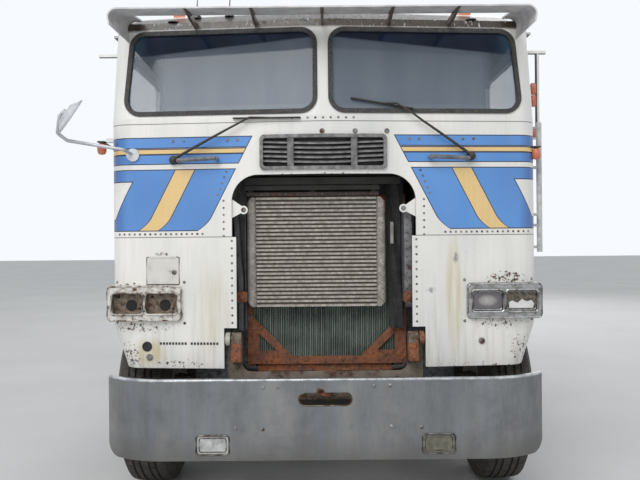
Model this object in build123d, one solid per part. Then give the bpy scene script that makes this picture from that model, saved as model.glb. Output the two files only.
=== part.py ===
from build123d import *
import math
import os

# Cab-over semi truck tractor with two drive axles. Millimetres, +Z up. The front faces -Y, +X is the
# driver's side, and the origin lies on the ground at the centre of the tractor's outline.

# Overall layout. Distances called "back" run rearwards from the bumper's front face.
VISOR_OVERHANG = 100
FRONT_AXLE_BACK = 800
WHEELBASE = 4190
BOGIE_SPACING = 1320
REAR_OVERHANG = 550
OVERALL_LENGTH = VISOR_OVERHANG + FRONT_AXLE_BACK + WHEELBASE + BOGIE_SPACING / 2 + REAR_OVERHANG
NOSE = -OVERALL_LENGTH / 2 + VISOR_OVERHANG
TAIL = OVERALL_LENGTH / 2
FRONT_AXLE_Y = NOSE + FRONT_AXLE_BACK
BOGIE_Y = FRONT_AXLE_Y + WHEELBASE
DRIVE_AXLES_Y = {"fore": BOGIE_Y - BOGIE_SPACING / 2, "aft": BOGIE_Y + BOGIE_SPACING / 2}

# Running clearances
PIN_CLEARANCE = 0.5
DOOR_GAP = 6
SEAT_GAP = 0.3

# Tyres
TYRE_RADIUS = 523
TYRE_WIDTH = 279
TREAD_WIDTH = 224
SHOULDER_DROP = 26
SHOULDER_STEP = 10
SIDEWALL_SPAN = 60
SIDEWALL_TAPER = 8
BEAD_RADIUS = 286
BEAD_INSET = 8

# Rims, hubs and drums
RIM_WIDTH = 210
RIM_WALL = 11
RIM_FLANGE = 14
RIM_LIP = 8
DISC_THICKNESS = 14
DISC_FOOT = 4
DISC_DISH_RADIUS = 168
HUB_RADIUS = 118
HUB_CAP_RADIUS = 88
HUB_CAP_LENGTH = 34
DRUM_RADIUS = 208
DRUM_INBOARD = 88
DRUM_OUTBOARD = 30
HAND_HOLES = 5
HAND_HOLE_RADIUS = 34
HAND_HOLE_CIRCLE = 205
FRONT_TRACK = 2032
FRONT_DISC_OFFSET = 62
FRONT_HUB_INNER = -60
FRONT_HUB_OUTER = 96
DUAL_OUTER_WIDTH = 2438
DUAL_SPACING = 343
DUAL_HUB_INNER = 20
DUAL_HUB_OUTER = -20
AXLE_SHAFT_REACH = 60
FRONT_WHEEL_X = FRONT_TRACK / 2
DUAL_OUTER_X = (DUAL_OUTER_WIDTH - TYRE_WIDTH) / 2
DUAL_INNER_X = DUAL_OUTER_X - DUAL_SPACING

# Frame rails and crossmembers
RAIL_HALF_SPREAD = 430
RAIL_DEPTH = 267
RAIL_FLANGE = 76
RAIL_THICKNESS = 9
RAIL_TOP = 1020
RAIL_START_BACK = 520
RAIL_END_GAP = 130
RAIL_BOTTOM = RAIL_TOP - RAIL_DEPTH
RAIL_START_Y = NOSE + RAIL_START_BACK
RAIL_END_Y = TAIL - RAIL_END_GAP
CROSSMEMBER_WIDTH = 110
CROSSMEMBER_FLANGE = 12
CROSSMEMBER_WEB = 10
CROSSMEMBER_BEHIND_GEARBOX = 270
CROSSMEMBER_BEFORE_AXLE = 720
CROSSMEMBER_FROM_END = 60
SHAFT_HOLE_GAP = 30

# Front crossmember, frame horns and cab pivots
CROSS_BACK = 200
CROSS_DEPTH = 60
CROSS_HALF_WIDTH = 520
CROSS_BOTTOM = 600
CHANNEL_TOP = 720
CROSS_MIDDLE_TOP = 750
CROSS_SIDE_TOP = 890
CROSS_CUT_HALF_WIDTH = 440
CROSS_CUT_RADIUS = 45
CROSS_PLATE = 10
HORN_THICKNESS = 16
HORN_BOTTOM = 600
HORN_TOP = 745
HORN_LAP = 300
HORN_LAP_DROP = 40
HORN_STEP = 30
HORN_HEEL = 80
PIVOT_BACK = 170
PIVOT_Z = 930
PIVOT_PIN_RADIUS = 16
PIVOT_BRACKET_IN = 440
PIVOT_BRACKET_OUT = 490
PIVOT_BRACKET_LAP = 100
PIVOT_ARM_IN = 500
PIVOT_ARM_OUT = 522
PIVOT_ARM_RADIUS = 34
PIVOT_PIN_END = 8
PIVOT_ARM_RISE = 90
PIVOT_ARM_RUN = 150
PIVOT_ARM_FOOT = (60, 190)
PIVOT_Y = NOSE + PIVOT_BACK

# Cab envelope: a shallow V across the front with a soft crease, round corners, the screens leaning back
CAB_HALF_WIDTH = 1143
CAB_FACE_BACK = 110
FACE_SWEEP = 90
CREASE_RADIUS = 1200
CAB_CORNER_RADIUS = 110
CAB_REAR_BACK = 2184
CAB_REAR_RADIUS = 60
SMALLEST_CORNER = 20
CAB_WALL = 30
SKIRT_Z = 777
SKIRT_TAPER = 72
TAPER_TOP_Z = 1000
SEAM_Z = 1470
DRIP_Z = 2100
ROOF_LINE_Z = 2620
ROOF_TOP_Z = 2700
ROOF_CROWN_INSET = 150
SCREEN_LEAN = 55
SIDE_TUMBLE = 18
FRONT_SPLIT_BACK = 330
REAR_SPLIT_FROM_REAR = 90
SIDE_BOTTOM_Z = 1052
ARCH_RADIUS = 600
CAB_FACE_Y = NOSE + CAB_FACE_BACK
CAB_REAR_Y = NOSE + CAB_REAR_BACK
FRONT_SPLIT_Y = NOSE + FRONT_SPLIT_BACK
REAR_SPLIT_Y = CAB_REAR_Y - REAR_SPLIT_FROM_REAR

# Pressings on the cab: the gutter over the doors and the rear wall's ribs
GUTTER_Z = 2572
GUTTER_HEIGHT = 10
GUTTER_PROUD = 6
REAR_RIBS = 4
REAR_RIB_PITCH = 420
REAR_RIB_WIDTH = 70
REAR_RIB_PROUD = 12
REAR_RIB_BOTTOM = 1160
REAR_RIB_TOP = 2480

# Windshield, its seals and the sleeper's side windows
SCREEN_INNER_X = 28
SCREEN_OUTER_X = 1066
SCREEN_TOP_OUTER_X = 1030
SCREEN_BOTTOM_Z = 2112
SCREEN_TOP_Z = 2575
SCREEN_CORNER = 90
SEAL_WIDTH = 24
SEAL_PROUD = 7
SEAL_DEPTH = 22
GLASS_THICKNESS = 6
GLASS_INSET = 6
SLEEPER_WINDOW_Z = 2200
SLEEPER_WINDOW_WIDTH = 330
SLEEPER_WINDOW_HEIGHT = 300
SLEEPER_WINDOW_CORNER = 50

# Grille opening and the two grille ears left on its sides
GRILLE_HALF_WIDTH = 484
GRILLE_TOP_Z = 1795
GRILLE_CORNER = 140
LOWER_GRILLE_HALF_WIDTH = 462
NOTCH_HALF_WIDTH = 530
NOTCH_TOP_Z = 990
EAR_TOP_Z = 1668
EAR_TIP_Z = 1612
EAR_BOTTOM_Z = 1569
EAR_REACH = 80
EAR_THICKNESS = 8

# Intake louvre
LOUVRE_WIDTH = 667
LOUVRE_HEIGHT = 184
LOUVRE_Z = 1910
LOUVRE_SLATS = 5
LOUVRE_SLAT = 8
LOUVRE_SLAT_RISE = 12
LOUVRE_RIM = 18
LOUVRE_CORNER = 24
LOUVRE_PROUD = 12
LOUVRE_DIVIDER_X = 170
LOUVRE_DIVIDER = 8
LOUVRE_DEPTH = 28
LOUVRE_SLAT_DEPTH = 24

# Headlamp bezels and lamps
BEZEL_WIDTH = 400
BEZEL_HEIGHT = 190
BEZEL_CORNER = 26
BEZEL_X = 950
BEZEL_Z = 1122
BEZEL_PROUD = 34
BEZEL_BEVEL = 9
BEZEL_POCKET_WIDTH = 166
BEZEL_POCKET_HEIGHT = 116
BEZEL_POCKET_CORNER = 14
BEZEL_POCKET_SPACING = 178
BEZEL_DEPTH = 14
LAMP_DEPTH = 26

# Engine tunnel and floor inside the cab
FLOOR_Z = 1100
FLOOR_THICKNESS = 30
TUNNEL_HALF_WIDTH = 500
TUNNEL_WALL = 20
TUNNEL_REAR_Z = 1640
TUNNEL_FRONT_Z = 1800
TUNNEL_STEP_BACK = 670

# Doors
DOOR_FRONT_BACK = 420
DOOR_WIDTH = 880
DOOR_BOTTOM_Z = 1062
DOOR_TOP_Z = 2550
HINGE_RADIUS = 12
HINGE_STANDOFF = 15
HINGES_Z = (1300, 1700, 2040)
HINGE_LENGTH = 40
HINGE_LEAF = 46
HINGE_END_PLAY = 1
WINDOW_MARGIN = 80
WINDOW_BOTTOM_Z = 2010
WINDOW_TOP_Z = 2480
WINDOW_CORNER = 60
PRESSING_DEPTH = 5
PRESSING_MARGIN = 90
PRESSING_TOP_Z = 1820
PRESSING_CORNER = 70
HANDLE_FROM_REAR = 110
HANDLE_LENGTH = 100
HANDLE_PROUD = 26
HANDLE_Z = 1880
HANDLE_HEIGHT = 28
DOOR_FRONT_Y = NOSE + DOOR_FRONT_BACK
DOOR_REAR_Y = DOOR_FRONT_Y + DOOR_WIDTH
HINGE_X = CAB_HALF_WIDTH + HINGE_STANDOFF
HINGE_Y = DOOR_FRONT_Y + DOOR_GAP / 2

# Mirror arms on the doors
MIRROR_ARM_BACK = 520
MIRROR_ARM_X = 1290
MIRROR_POST_X = 1240
MIRROR_POST_RADIUS = 12
MIRROR_ARM_WIDTH = 28
UPPER_ARM_Z = 2520
UPPER_ARM_HEIGHT = 16
LOWER_ARM_Z = 2032
LOWER_ARM_HEIGHT = 24

# Round convex mirror on a bent arm, turned towards the driver
MIRROR_X = -1270
MIRROR_BACK = 0
MIRROR_Z = 2080
MIRROR_RADIUS = 102
MIRROR_RIM = 8
MIRROR_SHELL_DEPTH = 28
MIRROR_BOSS_RADIUS = 18
MIRROR_BOSS_LENGTH = 14
MIRROR_FACING = (0.768, 0.342, -0.542)
MIRROR_TUBE_RADIUS = 9
MIRROR_TUBE_BEND = 20
MIRROR_ROUTE = (
    # x, back, z
    (-1010, 200, 1910),
    (-1040, 110, 1928),
    (-1305, 40, 1968),
    (-1344, 10, 2002),
    (-1324, -12, 2088),
)
MIRROR_FOOT = (-1010, 1908)
MIRROR_FOOT_RADIUS = 34
MIRROR_FOOT_PROUD = 12

# Visor over the screens
VISOR_FRONT_Z = 2600
VISOR_REAR_BACK = 270
VISOR_REAR_Z = 2648
VISOR_SHEET = 8
VISOR_FRONT_HALF_WIDTH = 1068
VISOR_REAR_HALF_WIDTH = 1062
VISOR_END_Z = 2520
VISOR_TUCK = 16
VISOR_CORNER = 48
VISOR_GAP_BACK = 92
VISOR_GAP_HALF_WIDTH = 975
VISOR_BRACKETS_X = (-677, -352, 0, 352, 677)
VISOR_BRACKET_WIDTH = 14
VISOR_BRACKET_FRONT = 30
VISOR_BRACKET_FOOT = 32

# Roof marker lamps
MARKERS_X = (-800, 800)
MARKER_RADIUS = 34
MARKER_LENGTH = 60
MARKER_FROM_EDGE = 50
CENTRE_MARKER = (80, 40, 34)

# Bumper
BUMPER_HALF_WIDTH = 1135
BUMPER_FLAT = 820
BUMPER_SWEEP = 140
BUMPER_BOTTOM = 340
BUMPER_TOP = 746
BUMPER_LOWER_CORNER = 70
BUMPER_WALL = 6
BUMPER_FLANGE = 48
BUMPER_ARM_X = (320, 380)
BUMPER_ARM_HEIGHTS = (640, 712)
TOW_SLOT_WIDTH = 266
TOW_SLOT_HEIGHT = 67
TOW_SLOT_Z = 647
TORN_NOTCH = ((-53, 668), (-38, 703), (-10, 698), (8, 668))
DRIVING_LAMP_X = 571
DRIVING_LAMP_Z = 419
DRIVING_LAMP_WIDTH = 160
DRIVING_LAMP_HEIGHT = 92
DRIVING_LAMP_CORNER = 16
DRIVING_LAMP_RECESS = 2
DRIVING_LAMP_RIM = 22
DRIVING_LAMP_DEPTH = 72
DRIVING_LAMP_TAPER = (25, 15)

# Radiator
RADIATOR_BACK = 370
RADIATOR_DEPTH = 100
RADIATOR_LEFT = -429
RADIATOR_RIGHT = 451
RADIATOR_SIDE = 28
RADIATOR_BOTTOM = 760
RADIATOR_TOP = 1700
TOP_TANK = 100
BOTTOM_TANK = 40
CORE_RECESS = 15
CORE_DEPTH = 60
FIN_PITCH = 15
FIN_WIDTH = 4
FIN_DEPTH = 8
GUSSET = 225
GUSSET_THICKNESS = 6
GUSSET_HOLE = (34, 130)
FOOT_INSET = 20
LOWER_BEAM_HALF = 375
LOWER_BEAM_HEIGHT = 42
LOWER_LUG = (-50, 67, 26)

# Charge air cooler
COOLER_BACK = 270
COOLER_DEPTH = 100
COOLER_LEFT = -419
COOLER_RIGHT = 335
COOLER_BOTTOM = 1087
COOLER_TOP = 1682
COOLER_TANK = 50
COOLER_TANK_CORNER = 22
COOLER_TANK_CHAMFER = 28
COOLER_RAIL = 12
COOLER_TUBE_PITCH = 21.4
COOLER_TUBE_HEIGHT = 11
COOLER_TUBE_FRONT = 12
COOLER_FIN_FRONT = 24
COOLER_FIN_REAR = 64

# Engine and gearbox
ENGINE_START_BACK = 620
ENGINE_LENGTH = 1300
ENGINE_HALF_WIDTH = 320
ENGINE_BOTTOM = 640
ENGINE_TOP = 1520
ENGINE_FOOT_FROM_END = 200
ENGINE_FOOT_LENGTH = 120
ENGINE_FOOT_HEIGHT = 24
ENGINE_FOOT_INSET = 5
GEARBOX_LENGTH = 760
GEARBOX_RADIUS = 230
GEARBOX_TAIL_RADIUS = 160
GEARBOX_Z = 830
ENGINE_START_Y = NOSE + ENGINE_START_BACK
ENGINE_REAR_Y = ENGINE_START_Y + ENGINE_LENGTH
GEARBOX_REAR_Y = ENGINE_REAR_Y + GEARBOX_LENGTH

# Front axle, springs and steering
KINGPIN_X = 850
KINGPIN_RADIUS = 20
KINGPIN_BOSS_RADIUS = 38
KINGPIN_BOSS_HALF = 70
BEAM_HALF_DEPTH = 38
BEAM_HALF_HEIGHT = 52
BEAM_END_HALF_HEIGHT = 40
BEAM_DROP = 75
BEAM_LEVEL_HALF = 550
BEAM_END_LENGTH = 115
SPRING_X = 438
SPRING_WIDTH = 90
SPRING_LOW = 505
SPRING_EYE_Z = 572
SPRING_EYE_RADIUS = 26
SPRING_HALF_LENGTH = 560
SPRING_THICKNESS = 52
SPRING_TIP = 12
SPRING_PAD = 120
SHACKLE_WIDTH = 40
SHACKLE_HALF = 23
SPINDLE_RADIUS = 42
SPINDLE_REACH = 60
KNUCKLE_PLATE_X = 918
KNUCKLE_PLATE_HALF = 60
KNUCKLE_EAR = 26
KNUCKLE_EAR_GAP = 1
KNUCKLE_WEB_GAP = 6
STEERING_ARM = 20
STEERING_ARM_LENGTH = 200
STEERING_ARM_END = 22
TIE_ROD_RADIUS = 17
TIE_PIN_RADIUS = 10
TIE_ROD_GAP = 2
TIE_END_RADIUS = 20
TIE_ROD_Y = FRONT_AXLE_Y + STEERING_ARM_LENGTH
STEERING_ARM_TOP = TYRE_RADIUS - KINGPIN_BOSS_HALF - KNUCKLE_EAR_GAP - KNUCKLE_EAR

# Drive axles, their suspension and the driveshafts
REAR_SPINDLE_RADIUS = 60
REAR_SPINDLE_END = 24
AXLE_TUBE_RADIUS = 72
AXLE_TUBE_GAP = 100
BANJO_RADIUS = 212
BANJO_HALF_WIDTH = 70
BANJO_SHOULDER = 140
BANJO_SHOULDER_RADIUS = 185
BANJO_FOOT = 250
PINION_REACH = 330
PINION_RADIUS = 120
PINION_TIP_RADIUS = 80
PINION_Z = TYRE_RADIUS + 30
BRAKE_CHAMBER_X = (290, 410)
BRAKE_CHAMBER_RADIUS = 75
BRAKE_CHAMBER_BEHIND = 165
BRAKE_CHAMBER_RISE = 20
BRAKE_BRACKET_X = (330, 370)
BEAM_X = 500
BEAM_WIDTH = 70
BEAM_END_HALF = 60
BEAM_MIDDLE_HALF = 110
BEAM_DEPTH = 60
BEAM_CROWN = 60
BEAM_BELLY = 90
SADDLE_HALF = 90
LEAF_HALF_LENGTH = 520
LEAF_SADDLE_DROP = 60
LEAF_TIP_Z = RAIL_BOTTOM + 20
LEAF_TIP = 14
LEAF_TOP_Z = RAIL_BOTTOM + 32
LEAF_BRACKET = 40
LEAF_BRACKET_HEIGHT = 110
SHAFT_RADIUS = 50
YOKE_RADIUS = 74
YOKE_LENGTH = 46

# Battery boxes with steps, and fuel tanks behind them
STEP_BOX_START_BACK = 1420
STEP_BOX_LENGTH = 700
STEP_BOX_OUTER_X = 1060
STEP_BOX_BOTTOM = 420
STEP_BOX_TOP = 960
STEP_WALL = 30
STEPS = (
    # inner x, bottom z, top z
    (860, 640, 900),
    (960, 440, 600),
)
BOX_BRACKET = 20
BOX_BRACKET_INSET = 60
STEP_BOX_START_Y = NOSE + STEP_BOX_START_BACK
STEP_BOX_END_Y = STEP_BOX_START_Y + STEP_BOX_LENGTH
TANK_RADIUS = 305
TANK_BOX_GAP = 100
TANK_TYRE_GAP = 137
TANK_X = 775
TANK_Z = 690
TANK_END_ROUND = 30
TANK_START_Y = STEP_BOX_END_Y + TANK_BOX_GAP
TANK_END_Y = DRIVE_AXLES_Y["fore"] - TYRE_RADIUS - TANK_TYRE_GAP
TANK_LENGTH = TANK_END_Y - TANK_START_Y
STRAP_SHARES = (0.22, 0.78)
STRAP_WIDTH = 50
STRAP_THICKNESS = 4
STRAP_LEG = 30
FILLER_RADIUS = 45
FILLER_OUT = 120
FILLER_FROM_FRONT = 180
FILLER_RISE = 15

# Fifth wheel
FIFTH_WHEEL_TOP = 1220
FIFTH_WHEEL_PLATE = 50
FIFTH_WHEEL_RADIUS = 460
FIFTH_WHEEL_DEPTH = 760
FIFTH_WHEEL_AHEAD = 80
FIFTH_WHEEL_Y = BOGIE_Y - FIFTH_WHEEL_AHEAD
KINGPIN_BORE_RADIUS = 26
RAMP_HALF_WIDTH = 330
RAMP_TIP_HALF_WIDTH = 250
RAMP_START = 200
RAMP_END = 620
THROAT_START = 110
THROAT_HALF_WIDTHS = (60, 120)
PEDESTAL_X = (330, 400)
PEDESTAL_FOOT_HALF = 200
PEDESTAL_HEAD_HALF = 80

# Mud flaps and tail lamps
FLAP_WIDTH = 610
FLAP_X = 908
FLAP_TOP = 960
FLAP_BOTTOM = 260
FLAP_THICKNESS = 10
FLAP_Y = TAIL - FLAP_THICKNESS
HANGER_BAR = 40
HANGER_ARM = 60
TAIL_LAMPS_X = (230, 345)
TAIL_LAMP_RADIUS = 52
TAIL_LAMP_DEPTH = 9

# Exhaust stack
STACK_X = -780
STACK_BEHIND_CAB = 220
STACK_Y = CAB_REAR_Y + STACK_BEHIND_CAB
MUFFLER_RADIUS = 125
MUFFLER_BOTTOM = 1180
MUFFLER_TOP = 2350
MUFFLER_CONE = 70
STACK_RADIUS = 64
STACK_WALL = 4
STACK_BORE_DEPTH = 200
STACK_TOP = 3150
STACK_FOOT_HALF = 60
STACK_FOOT_HEIGHT = 40
STACK_POST = 100
STACK_FOOT_LAP = 60

# Seats and bunk
SEAT_X = 790
SEAT_WIDTH = 480
SEAT_BACK_START = 1080
SEAT_TOP_Z = 1640
CUSHION_THICKNESS = 140
CUSHION_LENGTH = 460
CUSHION_ROUND = 36
BACKREST_FORWARD = 80
BACKREST_INSET = 20
BACKREST_THICKNESS = 120
BACKREST_HEIGHT = 620
BACKREST_LEAN = 50
PEDESTAL_HALF_WIDTH = 150
PEDESTAL_LENGTH = 300
PEDESTAL_SETBACK = 60
BUNK_BEHIND_SEAT = 30
BUNK_HALF_WIDTH = 1090
BUNK_THICKNESS = 150
BUNK_WALL_GAP = 6
BUNK_ROUND = 30

# Dashboard and steering wheel
DASH_HALF_WIDTH = 1090
DASH_DEPTH = 560
DASH_LIP = (430, 2080)
DASH_BROW = (530, 2045)
DASH_KNEE = 500
DASH_KNEE_TOP_Z = 1960
DASH_WALL_GAP = 8
WHEEL_RING_RADIUS = 222
WHEEL_GRIP_RADIUS = 13
WHEEL_BACK = 760
WHEEL_Z = 2015
WHEEL_TILT = (0, 0.45, 0.89)
WHEEL_SPOKE = 34
WHEEL_SPOKE_THICKNESS = 10
COLUMN_RADIUS = 32
COLUMN_LENGTH = 260
COLUMN_BRACE_RADIUS = 26

# Grab rails and handles
GRAB_X = 1198
GRAB_BACK = 360
GRAB_RADIUS = 15
GRAB_BOTTOM = 1372
GRAB_TOP = 2090
GRAB_STANDOFFS_Z = (1400, 1520, 1580, 1840, 2060)
GRAB_STANDOFF_RADIUS = 8
HANDLE_ENDS = ((560, 1880), (760, 1872))
HANDLE_STANDOFF = 45
HANDLE_RADIUS = 11
HANDLE_LEG_RADIUS = 10


def block(x0, x1, y0, y1, z0, z1):
    """A box between two corners."""
    centre = Pos((x0 + x1) / 2, (y0 + y1) / 2, (z0 + z1) / 2)
    return centre * Box(x1 - x0, y1 - y0, z1 - z0)


def across(sketch, x0, x1):
    """A sketch drawn in (y, z), extruded from x0 to x1."""
    return extrude(Plane.YZ.offset(x0) * sketch, amount=x1 - x0)


def along(sketch, y0, y1):
    """A sketch drawn in (x, z), extruded from y0 to y1."""
    return extrude(Plane.XZ.offset(-y1) * sketch, amount=y1 - y0)


def upward(sketch, z0, z1):
    """A sketch drawn in (x, y), extruded from z0 to z1."""
    return extrude(Plane.XY.offset(z0) * sketch, amount=z1 - z0)


def polygon(*points):
    """A flat face inside straight lines between the points."""
    return make_face(Polyline(*points, close=True))


def corners_at(sketch, level):
    """The sketch's corners at one level of its second axis, for rounding."""
    return sketch.vertices().filter_by_position(Axis.Y, level - 1, level + 1)


def rod(start, end, radius):
    """A round bar between two points."""
    direction = Vector(*end) - Vector(*start)
    plane = Plane(origin=start, z_dir=direction)
    return extrude(plane * Circle(radius), amount=direction.length)


def bent_tube(points, radius, bend):
    """A round tube along straight runs with round bends."""
    path = FilletPolyline(*points, radius=bend)
    return sweep(Plane(origin=path @ 0, z_dir=path % 0) * Circle(radius), path=path)


def barrel(x0, x1, y, z, radius):
    """A round bar along X."""
    return across(Pos(y, z) * Circle(radius), x0, x1)


def cone_along(y0, y1, z, radius0, radius1):
    """A round bar along Y that narrows from one radius to the other."""
    sections = [
        Plane.XZ.offset(-y0) * Pos(0, z) * Circle(radius0),
        Plane.XZ.offset(-y1) * Pos(0, z) * Circle(radius1),
    ]
    return loft(sections, ruled=True)


def mirrored(shape):
    """The same shape on the other side of the tractor."""
    return mirror(shape, about=Plane.YZ)


def both_sides(shape):
    return [shape, mirrored(shape)]


def joined(first, others):
    """One solid from a shape and those that grow out of it."""
    for other in others:
        first += other
    return first


def group(shapes):
    """Every solid of the shapes, as one compound."""
    solids = []
    for shape in shapes:
        solids.extend(shape.solids())
    return Compound(solids)


def cab_outline(inset, lean=0, tumble=0):
    """The cab's plan, set in by a wall thickness and by what the zone leans and tapers."""
    half = CAB_HALF_WIDTH - tumble - inset
    nose = CAB_FACE_Y + lean + inset
    corner = nose + FACE_SWEEP
    rear = CAB_REAR_Y - inset
    plan = polygon((0, nose), (half, corner), (half, rear), (-half, rear), (-half, corner))
    plan = fillet(corners_at(plan, nose), CREASE_RADIUS - inset)
    plan = fillet(corners_at(plan, corner), max(CAB_CORNER_RADIUS - inset, SMALLEST_CORNER))
    return fillet(corners_at(plan, rear), max(CAB_REAR_RADIUS - inset, SMALLEST_CORNER))


def cab_block(inset):
    """The cab as a solid block: a skirt that tapers in, straight sides, and a zone that leans back."""
    levels = (
        # height, lean, tumble
        (SKIRT_Z, 0, SKIRT_TAPER),
        (TAPER_TOP_Z, 0, 0),
        (DRIP_Z, 0, 0),
        (ROOF_LINE_Z, SCREEN_LEAN, SIDE_TUMBLE),
    )
    sections = [Plane.XY.offset(z) * cab_outline(inset, lean, tumble) for z, lean, tumble in levels]
    zones = [loft(list(pair), ruled=True) for pair in zip(sections, sections[1:])]
    return joined(zones[0], zones[1:])


def roof_cap(inset, top):
    """The crowned cap above the roof line."""
    sections = [
        Plane.XY.offset(ROOF_LINE_Z) * cab_outline(inset, SCREEN_LEAN, SIDE_TUMBLE),
        Plane.XY.offset(top) * cab_outline(inset + ROOF_CROWN_INSET, SCREEN_LEAN, SIDE_TUMBLE),
    ]
    return loft(sections, ruled=True)


CAB_SOLID = cab_block(0)
CAB_ROOM = cab_block(CAB_WALL)
CAB_SHELL = CAB_SOLID - CAB_ROOM


def face_y(x):
    """Where the cab's lower face lies at a distance from the centre."""
    return CAB_FACE_Y + FACE_SWEEP * abs(x) / CAB_HALF_WIDTH


def screen_sketch(inset):
    """One windshield pane's outline in (x, z), on the driver's side of the centre post."""
    pane = polygon(
        (SCREEN_INNER_X + inset, SCREEN_BOTTOM_Z + inset),
        (SCREEN_OUTER_X - inset, SCREEN_BOTTOM_Z + inset),
        (SCREEN_TOP_OUTER_X - inset, SCREEN_TOP_Z - inset),
        (SCREEN_INNER_X + inset, SCREEN_TOP_Z - inset),
    )
    return fillet(pane.vertices(), SCREEN_CORNER - inset)


def screen_prism(inset):
    return along(screen_sketch(inset), NOSE, FRONT_SPLIT_Y)


def grille_cut():
    """The opening left by the missing grille, from the skirt to its round top corners."""
    middle = (GRILLE_TOP_Z + SEAM_Z) / 2
    upper = Pos(0, middle) * Rectangle(2 * GRILLE_HALF_WIDTH, GRILLE_TOP_Z - SEAM_Z)
    upper = fillet(corners_at(upper, GRILLE_TOP_Z), GRILLE_CORNER)
    cut = along(upper, NOSE, FRONT_SPLIT_Y)
    cut += block(-LOWER_GRILLE_HALF_WIDTH, LOWER_GRILLE_HALF_WIDTH, NOSE, FRONT_SPLIT_Y, 0, SEAM_Z)
    return cut + block(-NOTCH_HALF_WIDTH, NOTCH_HALF_WIDTH, NOSE, FRONT_SPLIT_Y, 0, NOTCH_TOP_Z)


def grille_ear():
    """A pointed lug on the side of the opening, which held the grille."""
    x = GRILLE_HALF_WIDTH
    root = x + CAB_WALL
    outline = polygon(
        (root, EAR_TOP_Z), (x, EAR_TOP_Z), (x - EAR_REACH, EAR_TIP_Z), (x, EAR_BOTTOM_Z), (root, EAR_BOTTOM_Z)
    )
    y = face_y(root) + EAR_THICKNESS
    return along(outline, y, y + EAR_THICKNESS)


def arch_cut():
    return barrel(-CAB_HALF_WIDTH - 1, CAB_HALF_WIDTH + 1, FRONT_AXLE_Y, TYRE_RADIUS, ARCH_RADIUS)


def front_panel():
    """The upper front: the screens, the louvre and the top of the grille opening are cut."""
    zone = block(-CAB_HALF_WIDTH, CAB_HALF_WIDTH, NOSE, FRONT_SPLIT_Y, SEAM_Z, ROOF_LINE_Z)
    panel = (CAB_SHELL & zone) - grille_cut()
    for cut in both_sides(screen_prism(0)):
        panel -= cut
    louvre = Pos(0, LOUVRE_Z) * RectangleRounded(LOUVRE_WIDTH, LOUVRE_HEIGHT, LOUVRE_CORNER)
    return joined(panel - along(louvre, NOSE, FRONT_SPLIT_Y), both_sides(grille_ear()))


def corner_panels():
    """The lower corner panels, with the headlamp holes and the wheel arch cut."""
    zone = block(0, CAB_HALF_WIDTH, NOSE, FRONT_SPLIT_Y, SKIRT_Z, SEAM_Z)
    panel = (CAB_SHELL & zone) - grille_cut() - arch_cut()
    panel -= along(headlamp_pockets(0), NOSE, CAB_FACE_Y + FACE_SWEEP + CAB_WALL)
    return both_sides(panel)


def headlamp_pockets(gap):
    """The two lamp pockets of one bezel, drawn in (x, z), or the lamps that fill them with a gap."""
    width = BEZEL_POCKET_WIDTH - 2 * gap
    height = BEZEL_POCKET_HEIGHT - 2 * gap
    pocket = RectangleRounded(width, height, BEZEL_POCKET_CORNER - gap)
    x_in = BEZEL_X - BEZEL_POCKET_SPACING / 2
    x_out = BEZEL_X + BEZEL_POCKET_SPACING / 2
    return Pos(x_in, BEZEL_Z) * pocket + Pos(x_out, BEZEL_Z) * pocket


def headlamp_bezel():
    """A surround with bevelled edges that stands proud of the corner panel, with two pockets."""
    y_front = face_y(BEZEL_X) - BEZEL_PROUD
    outline = Pos(BEZEL_X, BEZEL_Z) * RectangleRounded(BEZEL_WIDTH, BEZEL_HEIGHT, BEZEL_CORNER)
    narrow = Pos(BEZEL_X, BEZEL_Z) * RectangleRounded(
        BEZEL_WIDTH - 2 * BEZEL_BEVEL, BEZEL_HEIGHT - 2 * BEZEL_BEVEL, BEZEL_CORNER - BEZEL_BEVEL
    )
    y_bevel = y_front + BEZEL_BEVEL
    solid = loft([Plane.XZ.offset(-y_front) * narrow, Plane.XZ.offset(-y_bevel) * outline], ruled=True)
    solid += along(outline, y_bevel, FRONT_SPLIT_Y)
    solid -= along(headlamp_pockets(0), NOSE, FRONT_SPLIT_Y)
    return solid - CAB_SOLID


def headlamps():
    """The two square lamps left in the driver's side bezel."""
    y = face_y(BEZEL_X) - BEZEL_PROUD + BEZEL_DEPTH
    return [along(headlamp_pockets(SEAT_GAP), y, y + LAMP_DEPTH)]


def sleeper_window():
    """The small fixed window behind the door, as a prism through the side."""
    centre_y = (DOOR_REAR_Y + REAR_SPLIT_Y) / 2
    sketch = Pos(centre_y, SLEEPER_WINDOW_Z) * RectangleRounded(
        SLEEPER_WINDOW_WIDTH, SLEEPER_WINDOW_HEIGHT, SLEEPER_WINDOW_CORNER
    )
    return across(sketch, CAB_HALF_WIDTH - 2 * CAB_WALL, CAB_HALF_WIDTH)


def side_wall():
    """One side of the cab round the door opening, with the sleeper window cut and a gutter above."""
    zone = block(0, CAB_HALF_WIDTH, FRONT_SPLIT_Y, REAR_SPLIT_Y, SIDE_BOTTOM_Z, ROOF_LINE_Z)
    wall = (CAB_SHELL & zone) - arch_cut() - door_box(0) - sleeper_window()
    gutter = block(
        CAB_HALF_WIDTH - 2 * CAB_WALL, CAB_HALF_WIDTH + GUTTER_PROUD, FRONT_SPLIT_Y, REAR_SPLIT_Y,
        GUTTER_Z, GUTTER_Z + GUTTER_HEIGHT
    )
    wall += gutter - CAB_ROOM
    for z in HINGES_Z:
        for end in (-1, 1):
            middle = z + end * (0.75 * HINGE_LENGTH + HINGE_END_PLAY)
            wall += hinge_leaf(middle, HINGE_LENGTH / 2, -1)
    return wall


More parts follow.
